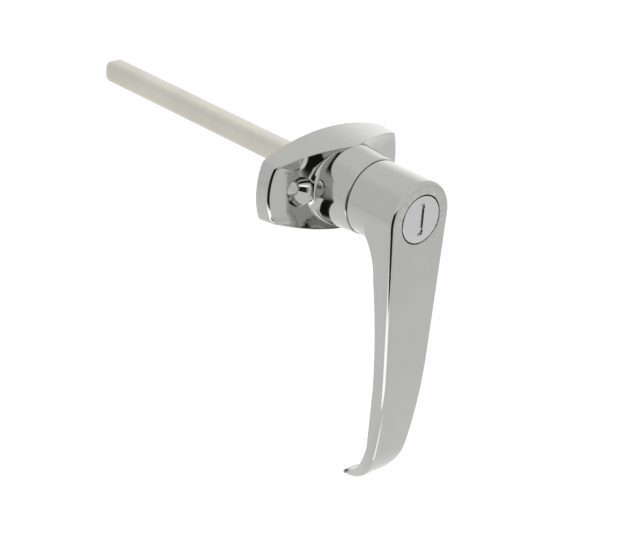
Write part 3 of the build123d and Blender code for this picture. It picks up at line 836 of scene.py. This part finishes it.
    def _cut_core(self, piece: bpy.types.Object, side: int) -> None:
        """Hollows the back of the left (-1) or right (1) wing and leaves a boss round its screw."""
        near, far = self.recess_radius + self.wall, self.half_length - 2 * self.wall
        tall = self.wing_half_width - self.wall
        tops = [self._wing_floor(x) - self.wall for x in (near, far)]
        section = [(near, -OVERRUN), (far, -OVERRUN), (far, tops[1]), (near, tops[0])]
        rings = [[(side * x, -h, z) for x, h in section] for z in (-tall, tall)]
        core = piece_of(ring_mesh("core_cutter", rings, True), "core_cutter")
        boss = self.screw_hole + self.boss_wall
        low, high = -2 * OVERRUN, max(tops) + OVERRUN
        profile = [(0.0, low), (boss, low), (boss, high), (0.0, high)]
        carve(core, lathe("boss", profile, self.boss_steps, side * self.screw_x))
        mesh = core.data
        bpy.data.objects.remove(core)
        carve(piece, mesh)


@dataclass
class Handle:
    """Cast lever with its hub and shank, edges rounded as polishing leaves them."""

    hub_radius: float = 11.75
    hub_front: float = 42.0
    hub_rear: float = 22.75
    head_bore: float = 7.75
    head_depth: float = 3.5
    seat_bore: float = 7.5
    mouth_break: float = 0.12
    edge_round: float = 1.35
    heel_round: float = 0.45
    back_round: float = 0.7
    tip_round: float = 0.7
    tip_slim: float = 0.4
    taper: float = 0.0566
    flat_drop: float = 46.0
    front_bow: float = 157.0
    side_end: float = 80.0
    tip_side_bow: float = 30.0
    # arcs of the lever's profile as (drop, depth behind the hub's front)
    upper_back: Arc = ((5.7, 12.0), (10.6, 9.1), (19.6, 7.3))
    lower_back: Arc = ((19.6, 7.3), (36.0, 5.7), (56.0, 5.4))
    tip_front: Arc = ((78.5, 3.4), (88.9, 8.9), (94.9, 19.0))
    tip_back: Arc = ((77.0, 6.9), (86.2, 11.4), (92.8, 19.6))
    # the lever's first section, which starts inside the hub
    root_drop: float = -1.5
    root_depth: float = 0.05
    root_inset: float = 0.35
    # how far the CAD's shank reaches into the hub
    shank_seam: float = 0.02
    # reach of the cutter that takes all of the CAD's handle in front of the shank
    cutter_side: float = 60.0
    cutter_front: float = 90.0
    cutter_low: float = 120.0
    # largest shares of the lever's thickness that its rounded edges take
    edge_share: float = 0.5
    back_share: float = 0.35
    # distance between sections of the flat, and numbers of steps and points
    section_gap: float = 1.5
    upper_points: int = 12
    lower_points: int = 16
    rim_points: int = 9
    heel_points: int = 5
    bow_steps: int = 22
    tip_steps: int = 32
    edge_steps: int = 8
    back_steps: int = 6
    hub_steps: int = 160

    def _half_width(self, drop: float) -> float:
        """Half the lever's width at a drop below the spindle's axis."""
        lean = math.atan(self.taper)
        side = self.hub_radius / math.cos(lean) - self.taper * drop
        if drop <= self.side_end:
            return side
        edge = self.hub_radius / math.cos(lean) - self.taper * self.side_end
        across = edge - self.tip_side_bow * math.cos(lean)
        down = self.side_end - self.tip_side_bow * math.sin(lean)
        return across + math.sqrt(self.tip_side_bow**2 - (drop - down) ** 2)

    def _stations(self) -> list[tuple[Vector, Vector]]:
        """Sets out the lever's sections from the hub down to the tip.

        Returns:
            Front and back point of each section, as (drop, depth) in millimetres.
        """
        backs = arc_through(self.upper_back, self.upper_points)
        backs += arc_through(self.lower_back, self.lower_points)[1:]
        backs += [Vector(self.tip_back[0])]
        pairs = [(Vector((self.root_drop, self.root_depth)), Vector((self.root_drop, self.upper_back[0][1])))]
        drop = self.hub_radius * math.sin(math.atan(self.taper))
        while drop < self.flat_drop:
            pairs.append((Vector((drop, 0.0)), Vector((drop, depth_on(backs, drop)))))
            drop += self.section_gap
        front_end, back_end = self.tip_front[0][0], self.tip_back[0][0]
        for i in range(self.bow_steps):
            front = self.flat_drop + (front_end - self.flat_drop) * i / self.bow_steps
            back = self.flat_drop + (back_end - self.flat_drop) * i / self.bow_steps
            bow = self.front_bow - math.sqrt(self.front_bow**2 - (front - self.flat_drop) ** 2)
            pairs.append((Vector((front, bow)), Vector((back, depth_on(backs, back)))))
        tip = [arc_through(arc, self.tip_steps + 1) for arc in (self.tip_front, self.tip_back)]
        return pairs + list(zip(*tip))

    def _section(self, front: Vector, back: Vector, gap: float) -> list[Point]:
        """Rounds one section of the lever.

        Args:
            front: Its front point as (drop, depth).
            back: Its back point.
            gap: How far the front point is from the lever's end.

        Returns:
            The section's ring of points.
        """
        slim = 0.0
        if gap < self.tip_round:
            slim = self.tip_round - math.sqrt(self.tip_round**2 - (self.tip_round - gap) ** 2)
            slim = min(slim, self.tip_slim)
        inward = (back - front).normalized()
        near, far = front + inward * slim, back - inward * slim
        thick = (far - near).length
        half = self.hub_radius - self.root_inset if front.x < 0 else self._half_width(front.x) - slim
        edge = min(self.edge_round, self.edge_share * thick)
        rear = min(self.back_round, self.back_share * thick)
        side = []
        for i in range(self.edge_steps + 1):
            turn = math.pi / 2 * i / self.edge_steps
            side.append((half - edge + edge * math.sin(turn), edge - edge * math.cos(turn)))
        for i in range(self.back_steps + 1):
            turn = math.pi / 2 * i / self.back_steps
            side.append((half - rear + rear * math.cos(turn), thick - rear + rear * math.sin(turn)))
        ring = side + [(-x, deep) for x, deep in reversed(side)]
        places = [(x, near + inward * deep) for x, deep in ring]
        return [(x, place.y - self.hub_front, -place.x) for x, place in places]

    def _lever(self) -> bpy.types.Mesh:
        """Lever as rounded sections from inside the hub down to the tip."""
        pairs = self._stations()
        end = pairs[-1][0]
        rings = [self._section(front, back, (end - front).length) for front, back in pairs]
        return ring_mesh("lever_casting", rings, True)

    def _hub(self) -> bpy.types.Mesh:
        """Solid hub with its front rim and its heel rounded."""
        front, rear = Vector((self.hub_radius, self.hub_front)), Vector((self.hub_radius, self.hub_rear))
        rim = fillet(front, Vector((0.0, self.hub_front)), rear, self.edge_round, self.rim_points)
        heel = fillet(rear, front, Vector((0.0, self.hub_rear)), self.heel_round, self.heel_points)
        profile = [(0.0, self.hub_front)] + [(p.x, p.y) for p in rim + heel] + [(0.0, self.hub_rear)]
        return lathe("handle_casting", profile, self.hub_steps)

    def _bore(self) -> bpy.types.Mesh:
        """Cutter for the stepped bore that the lock's cylinder fills."""
        shelf = self.hub_front - self.head_depth
        low, high = self.hub_rear - OVERRUN, self.hub_front + OVERRUN
        mouth = self.head_bore + self.mouth_break
        profile = [
            (0.0, low),
            (self.seat_bore, low),
            (self.seat_bore, shelf),
            (self.head_bore, shelf),
            (self.head_bore, self.hub_front - self.mouth_break),
            (mouth, self.hub_front),
            (mouth + OVERRUN, high),
            (0.0, high),
        ]
        return lathe("bore_cutter", profile, self.hub_steps)

    def build(self) -> bpy.types.Object:
        """Builds, joins and dresses the handle.

        Returns:
            The finished piece.
        """
        piece = piece_of(self._hub(), "handle_casting")
        carve(piece, self._lever(), "UNION")
        carve(piece, self._bore())
        self._add_shank(piece)
        even_normals(piece)
        settle(piece, CHROME, "handle", "handle")
        return piece

    def _add_shank(self, piece: bpy.types.Object) -> None:
        """Adds the CAD's shank, with its flats, groove and bolt way, behind the hub."""
        form = bmesh.new()
        form.from_mesh(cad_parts["handle"].data)
        bmesh.ops.remove_doubles(form, verts=form.verts, dist=CAD_WELD)
        mesh = bpy.data.meshes.new("shank")
        form.to_mesh(mesh)
        form.free()
        shank = piece_of(mesh, "shank")
        side, seam = self.cutter_side, -self.hub_rear - self.shank_seam
        low = (-side, -self.cutter_front, -self.cutter_low)
        carve(shank, block("front_cutter", low, (side, seam, side)))
        both = bmesh.new()
        both.from_mesh(piece.data)
        both.from_mesh(shank.data)
        both.to_mesh(piece.data)
        both.free()
        bpy.data.objects.remove(shank)


@dataclass
class PlugFace:
    """Thin round cap over the plug's head, with the key slot."""

    radius: float = 7.38
    rear: float = 41.6
    front: float = 42.0
    rim_round: float = 0.2
    slot_width: float = 1.9
    slot_height: float = 10.0
    slot_end: float = 1.15
    steps: int = 120
    rim_points: int = 6
    slot_end_steps: int = 32

    def build(self) -> bpy.types.Object:
        """Turns, slots and dresses the cap.

        Returns:
            The finished piece.
        """
        corner, edge = Vector((self.radius, self.front)), Vector((self.radius, self.rear))
        rim = fillet(corner, Vector((0.0, self.front)), edge, self.rim_round, self.rim_points)
        profile = [(0.0, self.front)] + [(p.x, p.y) for p in rim]
        profile += [(self.radius, self.rear), (0.0, self.rear)]
        piece = piece_of(lathe("plug_face", profile, self.steps), "plug_face")
        half, tall = self.slot_width / 2, self.slot_height / 2
        low, high = self.rear - OVERRUN, self.front + OVERRUN
        carve(piece, block("slot_cutter", (-half, -high, -tall), (half, -low, tall)))
        ends = [(0.0, low), (self.slot_end, low), (self.slot_end, high), (0.0, high)]
        for side in (-1, 1):
            middle = side * (tall - self.slot_end)
            carve(piece, lathe("slot_end_cutter", ends, self.slot_end_steps, z=middle))
        even_normals(piece)
        settle(piece, FACE_STEEL, "plug_cap", "key_plug")
        return piece


@dataclass
class Spindle:
    """Square drive bar: a Geometry Nodes sweep of a square with rounded long edges."""

    edge_round: float = 1.9
    end_round: float = 3.0
    end_taper: float = 0.8
    edge_steps: int = 6
    length_points: int = 600
    crisp: float = 40.0

    def _tree(self) -> bpy.types.NodeTree:
        """Sweep of a rounded square along a line, slimmer just at its ends.

        Returns:
            The tree, with the bar's sizes as its named inputs.
        """
        inputs = {
            "Side": "FLOAT",
            "Edge Round": "FLOAT",
            "Start": "VECTOR",
            "End": "VECTOR",
            "End Round": "FLOAT",
            "Finish": "MATERIAL",
        }
        tree = new_tree("square_bar", inputs)
        nodes, links = tree.nodes, tree.links
        given = nodes["Given"]
        line = nodes.new("GeometryNodeCurvePrimitiveLine")
        links.new(given.outputs["Start"], line.inputs["Start"])
        links.new(given.outputs["End"], line.inputs["End"])
        cut = nodes.new("GeometryNodeResampleCurve")
        cut.mode = "COUNT"
        cut.inputs["Count"].default_value = self.length_points
        links.new(line.outputs["Curve"], cut.inputs["Curve"])
        along = nodes.new("GeometryNodeSplineParameter")
        reach = math_node(tree, "SUBTRACT", 1.0, along.outputs["Factor"])
        length = nodes.new("GeometryNodeSplineLength")
        left = math_node(tree, "MULTIPLY", reach, length.outputs["Length"])
        share = math_node(tree, "DIVIDE", left, given.outputs["End Round"])
        capped = math_node(tree, "MINIMUM", share, 1.0)
        away = math_node(tree, "SUBTRACT", 1.0, capped)
        square = math_node(tree, "MULTIPLY", away, away)
        inner = math_node(tree, "SUBTRACT", 1.0, square)
        rounded = math_node(tree, "SQRT", inner)
        short = math_node(tree, "SUBTRACT", 1.0, rounded)
        loss = math_node(tree, "MULTIPLY", short, self.end_taper)
        scale = math_node(tree, "SUBTRACT", 1.0, loss)
        shape = nodes.new("GeometryNodeCurvePrimitiveQuadrilateral")
        links.new(given.outputs["Side"], shape.inputs["Width"])
        links.new(given.outputs["Side"], shape.inputs["Height"])
        soft = nodes.new("GeometryNodeFilletCurve")
        soft.mode = "POLY"
        soft.inputs["Count"].default_value = self.edge_steps
        links.new(shape.outputs["Curve"], soft.inputs["Curve"])
        links.new(given.outputs["Edge Round"], soft.inputs["Radius"])
        sweep = nodes.new("GeometryNodeCurveToMesh")
        sweep.inputs["Fill Caps"].default_value = True
        links.new(cut.outputs["Curve"], sweep.inputs["Curve"])
        links.new(soft.outputs["Curve"], sweep.inputs["Profile Curve"])
        links.new(scale, sweep.inputs["Scale"])
        close_tree(tree, sweep.outputs["Mesh"])
        return tree

    def build(self) -> bpy.types.Object:
        """Sweeps and dresses the bar.

        Returns:
            The finished piece.
        """
        low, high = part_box("spindle")
        middle = (low + high) / 2
        sizes = {
            "Side": high.x - low.x,
            "Edge Round": self.edge_round * MM,
            "Start": (middle.x, low.y, middle.z),
            "End": (middle.x, high.y, middle.z),
            "End Round": self.end_round * MM,
            "Finish": NICKEL.material(),
        }
        piece = piece_of(grown_mesh("spindle_bar", self._tree(), sizes), "spindle_bar")
        settle(piece, NICKEL, "spindle", "handle", self.crisp)
        return piece


@dataclass
class WaferSprings:
    """The five little coil springs under the wafers, one coil repeated along the plug."""

    turns: float = 5.5
    wire: float = 0.16
    count: int = 5
    turn_steps: int = 18
    wire_steps: int = 8
    crisp: float = 60.0

    def _tree(self) -> bpy.types.NodeTree:
        """Coil repeated along a row.

        Returns:
            The tree, with the coil's sizes and the row's ends as its named inputs.
        """
        inputs = {
            "Turns": "FLOAT",
            "Coil Radius": "FLOAT",
            "Height": "FLOAT",
            "Wire": "FLOAT",
            "First": "VECTOR",
            "Step": "VECTOR",
            "Count": "INT",
            "Finish": "MATERIAL",
        }
        tree = new_tree("coil_row", inputs)
        nodes, links = tree.nodes, tree.links
        given = nodes["Given"]
        coil = nodes.new("GeometryNodeCurveSpiral")
        coil.inputs["Resolution"].default_value = self.turn_steps
        links.new(given.outputs["Turns"], coil.inputs["Rotations"])
        links.new(given.outputs["Coil Radius"], coil.inputs["Start Radius"])
        links.new(given.outputs["Coil Radius"], coil.inputs["End Radius"])
        links.new(given.outputs["Height"], coil.inputs["Height"])
        wire = nodes.new("GeometryNodeCurvePrimitiveCircle")
        wire.mode = "RADIUS"
        wire.inputs["Resolution"].default_value = self.wire_steps
        links.new(given.outputs["Wire"], wire.inputs["Radius"])
        sweep = nodes.new("GeometryNodeCurveToMesh")
        sweep.inputs["Fill Caps"].default_value = True
        links.new(coil.outputs["Curve"], sweep.inputs["Curve"])
        links.new(wire.outputs["Curve"], sweep.inputs["Profile Curve"])
        row = nodes.new("GeometryNodeMeshLine")
        row.mode = "OFFSET"
        links.new(given.outputs["Count"], row.inputs["Count"])
        links.new(given.outputs["First"], row.inputs["Start Location"])
        links.new(given.outputs["Step"], row.inputs["Offset"])
        repeat = nodes.new("GeometryNodeInstanceOnPoints")
        links.new(row.outputs["Mesh"], repeat.inputs["Points"])
        links.new(sweep.outputs["Mesh"], repeat.inputs["Instance"])
        close_tree(tree, repeat.outputs["Instances"])
        return tree

    def build(self) -> bpy.types.Object:
        """Coils and dresses the springs.

        Returns:
            The finished piece.
        """
        names = [f"wafer_spring_{index}" for index in range(1, self.count + 1)]
        boxes = [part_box(name) for name in names]
        low, high = boxes[0]
        first, last = [(b[0] + b[1]) / 2 for b in (boxes[0], boxes[-1])]
        wide = min(high.x - low.x, high.y - low.y) / 2
        wire = self.wire * MM
        sizes = {
            "Turns": self.turns,
            "Coil Radius": wide - wire,
            "Height": high.z - low.z - 2 * wire,
            "Wire": wire,
            "First": (first.x, first.y, low.z + wire),
            "Step": tuple((last - first) / (self.count - 1)),
            "Count": self.count,
            "Finish": SPRING_STEEL.material(),
        }
        piece = piece_of(grown_mesh("wafer_coils", self._tree(), sizes), "wafer_coils")
        settle(piece, SPRING_STEEL, names[0], "key_plug", self.crisp)
        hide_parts(*names[1:])
        return piece


# --- studio ---------------------------------------------------------------------------------


# corners of a square face, from side to side and from bottom to top
SQUARE = ((-1, -1), (1, -1), (1, 1), (-1, 1))


@dataclass(frozen=True)
class Lamp:
    """A soft round-edged lamp: where it hangs, how large its face is, and how bright (1 is white)."""

    name: str
    azimuth: float
    elevation: float
    distance: float
    size: tuple[float, float]
    level: float


@dataclass(frozen=True)
class Card:
    """A card that only polished metal sees: its place, size, grey level (1 is white) and soft edge."""

    name: str
    azimuth: float
    elevation: float
    distance: float
    size: tuple[float, float]
    level: float
    softness: tuple[float, float]


def seen_by(tree: bpy.types.NodeTree, *rays: str) -> bpy.types.NodeSocket:
    """Tells the named kinds of rays from all others.

    Args:
        tree: The shader's nodes.
        rays: Outputs of the Light Path node.

    Returns:
        A socket that gives 1 to those rays and 0 to others.
    """
    path = tree.nodes.new("ShaderNodeLightPath")
    seen = path.outputs[rays[0]]
    for ray in rays[1:]:
        seen = math_node(tree, "MAXIMUM", seen, path.outputs[ray])
    return seen


@dataclass
class Studio:
    """Pale room and floor, soft lamps, cards for the metal to mirror, and the camera."""

    floor_drop: float = 0.13
    floor_size: float = 6.0
    floor_grey: float = 0.92
    floor_lift: float = 0.26
    room_fill: float = 0.6
    camera_azimuth: float = -42.35
    camera_elevation: float = 29.15
    object_tilt: float = 5.4
    focal_length: float = 124.7
    camera_offset: tuple[float, float, float] = (30.85, 14.57, -634.4)
    aim: tuple[float, float, float] = (0.0, 0.0, -0.02)
    lamps: tuple[Lamp, ...] = (
        Lamp("overhead_lamp", 20.0, 75.0, 0.9, (0.7, 0.7), 2.0),
        Lamp("window_lamp", 52.0, 30.0, 0.9, (0.6, 0.6), 1.5),
    )
    cards: tuple[Card, ...] = (
        Card("room_card", -60.0, 20.0, 1.2, (2.6, 2.2), 0.9, (0.6, 0.6)),
        Card("window_card", 52.0, 6.0, 0.8, (1.0, 1.1), 1.35, (0.9, 0.9)),
        Card("table_card", 172.0, -56.0, 0.23, (0.12, 0.12), 1.9, (0.6, 0.6)),
        Card("dark_card", -135.0, -8.0, 0.34, (0.44, 0.3), 0.02, (0.45, 0.12)),
        Card("strip_card", -135.0, -37.0, 0.30, (0.36, 0.10), 2.1, (0.4, 0.25)),
    )

    def build(self) -> None:
        """Builds everything round the object."""
        scene = bpy.context.scene
        scene.view_settings.view_transform = "Standard"
        self._world()
        self._floor()
        for lamp in self.lamps:
            self._lamp(lamp)
        for card in self.cards:
            self._card(card)
        self._camera()

    def _world(self) -> None:
        """Pale surroundings: white to the eye and in reflections, a softer fill for the rest."""
        world = bpy.data.worlds.new("studio_room")
        bpy.context.scene.world = world
        world.use_nodes = True
        nodes, links = world.node_tree.nodes, world.node_tree.links
        back = nodes["Background"]
        back.inputs["Color"].default_value = (1.0, 1.0, 1.0, 1.0)
        seen = seen_by(world.node_tree, "Is Camera Ray", "Is Transmission Ray", "Is Glossy Ray")
        level = nodes.new("ShaderNodeMapRange")
        level.inputs["To Min"].default_value = self.room_fill
        level.inputs["To Max"].default_value = 1.0
        links.new(seen, level.inputs["Value"])
        links.new(level.outputs["Result"], back.inputs["Strength"])

    def _floor(self) -> None:
        """A wide pale floor below the lever."""
        low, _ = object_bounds()
        mesh = bpy.data.meshes.new("studio_floor")
        half = self.floor_size / 2
        height = low.z - self.floor_drop
        mesh.from_pydata([(half * x, half * y, height) for x, y in SQUARE], [], [(0, 1, 2, 3)])
        floor = bpy.data.objects.new("studio_floor", mesh)
        bpy.context.scene.collection.objects.link(floor)
        material = bpy.data.materials.new("studio_paper")
        material.use_nodes = True
        links = material.node_tree.links
        shader = material.node_tree.nodes["Principled BSDF"]
        shader.inputs["Base Color"].default_value = (*[self.floor_grey] * 3, 1.0)
        shader.inputs["Roughness"].default_value = 0.9
        shader.inputs["Specular IOR Level"].default_value = 0.0
        shader.inputs["Emission Color"].default_value = (1.0, 1.0, 1.0, 1.0)
        seen = seen_by(material.node_tree, "Is Camera Ray", "Is Glossy Ray")
        lift = math_node(material.node_tree, "MULTIPLY", seen, self.floor_lift)
        links.new(lift, shader.inputs["Emission Strength"])
        mesh.materials.append(material)
        floor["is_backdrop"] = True

    def _toward(self, azimuth: float, elevation: float, distance: float) -> Vector:
        """Point seen from the lock in a direction.

        Args:
            azimuth: Degrees from the door's inside (+Y) towards +X.
            elevation: Degrees above the horizon.
            distance: Metres from the lock.

        Returns:
            The point.
        """
        turn, rise = math.radians(azimuth), math.radians(elevation)
        ray = Vector((math.sin(turn) * math.cos(rise), math.cos(turn) * math.cos(rise), math.sin(rise)))
        return Vector(self.aim) + ray * distance

    def _facing(self, place: Vector) -> Matrix:
        """Placement at a point, facing the lock."""
        turned = (place - Vector(self.aim)).to_track_quat("Z", "Y")
        return Matrix.Translation(place) @ turned.to_matrix().to_4x4()

    def _lamp(self, lamp: Lamp) -> None:
        """Hangs one soft lamp."""
        data = bpy.data.lights.new(lamp.name, "AREA")
        data.shape = "ELLIPSE"
        data.size, data.size_y = lamp.size
        data.energy = lamp.level * math.pi * math.pi / 4 * lamp.size[0] * lamp.size[1]
        piece = bpy.data.objects.new(lamp.name, data)
        piece.matrix_world = self._facing(self._toward(lamp.azimuth, lamp.elevation, lamp.distance))
        piece.visible_glossy = False
        bpy.context.scene.collection.objects.link(piece)

    def _card(self, card: Card) -> None:
        """Stands one soft-edged card that only shows in polished metal."""
        mesh = bpy.data.meshes.new(card.name)
        width, height = card.size[0] / 2, card.size[1] / 2
        place = self._facing(self._toward(card.azimuth, card.elevation, card.distance))
        face = [place @ Vector((width * x, height * y, 0.0)) for x, y in SQUARE]
        mesh.from_pydata(face, [], [(0, 1, 2, 3)])
        spread = mesh.uv_layers.new(name="spread")
        for loop, corner in zip(spread.data, SQUARE):
            loop.uv = corner
        mesh.materials.append(self._card_material(card))
        piece = bpy.data.objects.new(card.name, mesh)
        piece.visible_camera = False
        piece.visible_diffuse = False
        piece.visible_shadow = False
        bpy.context.scene.collection.objects.link(piece)
        piece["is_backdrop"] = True

    def _card_material(self, card: Card) -> bpy.types.Material:
        """Glow at the card's grey level that fades to nothing towards its edges."""
        material = bpy.data.materials.new(card.name)
        material.use_nodes = True
        tree = material.node_tree
        nodes, links = tree.nodes, tree.links
        nodes.remove(nodes["Principled BSDF"])
        glow = nodes.new("ShaderNodeEmission")
        glow.inputs["Color"].default_value = (1.0, 1.0, 1.0, 1.0)
        glow.inputs["Strength"].default_value = card.level
        clear = nodes.new("ShaderNodeBsdfTransparent")
        place = nodes.new("ShaderNodeTexCoord")
        apart = nodes.new("ShaderNodeSeparateXYZ")
        links.new(place.outputs["UV"], apart.inputs["Vector"])
        masks = []
        for axis, softness in zip(("X", "Y"), card.softness):
            fade = nodes.new("ShaderNodeMapRange")
            fade.interpolation_type = "SMOOTHSTEP"
            fade.inputs["From Min"].default_value = 1.0 - softness
            fade.inputs["From Max"].default_value = 1.0
            fade.inputs["To Min"].default_value = 1.0
            fade.inputs["To Max"].default_value = 0.0
            links.new(math_node(tree, "ABSOLUTE", apart.outputs[axis]), fade.inputs["Value"])
            masks.append(fade.outputs["Result"])
        mix = nodes.new("ShaderNodeMixShader")
        links.new(math_node(tree, "MULTIPLY", *masks), mix.inputs["Fac"])
        links.new(clear.outputs["BSDF"], mix.inputs[1])
        links.new(glow.outputs["Emission"], mix.inputs[2])
        links.new(mix.outputs["Shader"], nodes["Material Output"].inputs["Surface"])
        return material

    def _camera(self) -> None:
        """Camera on the viewing line, with a long lens."""
        turn, rise, tilt = (
            math.radians(v) for v in (self.camera_azimuth, self.camera_elevation, self.object_tilt)
        )
        back = Vector((math.sin(turn) * math.cos(rise), -math.cos(turn) * math.cos(rise), math.sin(rise)))
        right = Vector((math.cos(turn), math.sin(turn), 0.0))
        up = back.cross(right)
        lean = Matrix(
            ((math.cos(tilt), 0.0, math.sin(tilt)), (0.0, 1.0, 0.0), (-math.sin(tilt), 0.0, math.cos(tilt)))
        )
        rows = Matrix((right, up, back)) @ lean
        offset = Vector(self.camera_offset) * MM
        low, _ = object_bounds()
        place = -(rows.transposed() @ offset) + Vector((0.0, low.y, 0.0))
        data = bpy.data.cameras.new("viewing_camera")
        data.lens = self.focal_length
        camera = bpy.data.objects.new("viewing_camera", data)
        camera.matrix_world = Matrix.Translation(place) @ rows.transposed().to_4x4()
        bpy.context.scene.collection.objects.link(camera)
        bpy.context.scene.camera = camera


def main() -> None:
    """Builds the studio and every sub-assembly in order."""
    logging.basicConfig(level=logging.INFO, format="%(name)s: %(message)s")
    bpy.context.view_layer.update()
    finishes = {
        FACE_STEEL: ("shutter",),
        BRIGHT_STEEL: ("spindle_pin", "shell_pin", "shutter_pin", "stop_washer"),
        SPRING_STEEL: ("retaining_ring", "spring_washer", "plug_clip", "shutter_spring"),
        ZINC: ("cylinder_shell", "key_plug", "plug_driver", "locking_bolt"),
        BRASS: ("wafer_1", "wafer_2", "wafer_3", "wafer_4", "wafer_5"),
    }
    for finish, names in finishes.items():
        for name in names:
            dress(name, finish)
    Escutcheon().build()
    Handle().build()
    PlugFace().build()
    Spindle().build()
    WaferSprings().build()
    Studio().build()


if __name__ == "__main__":
    main()
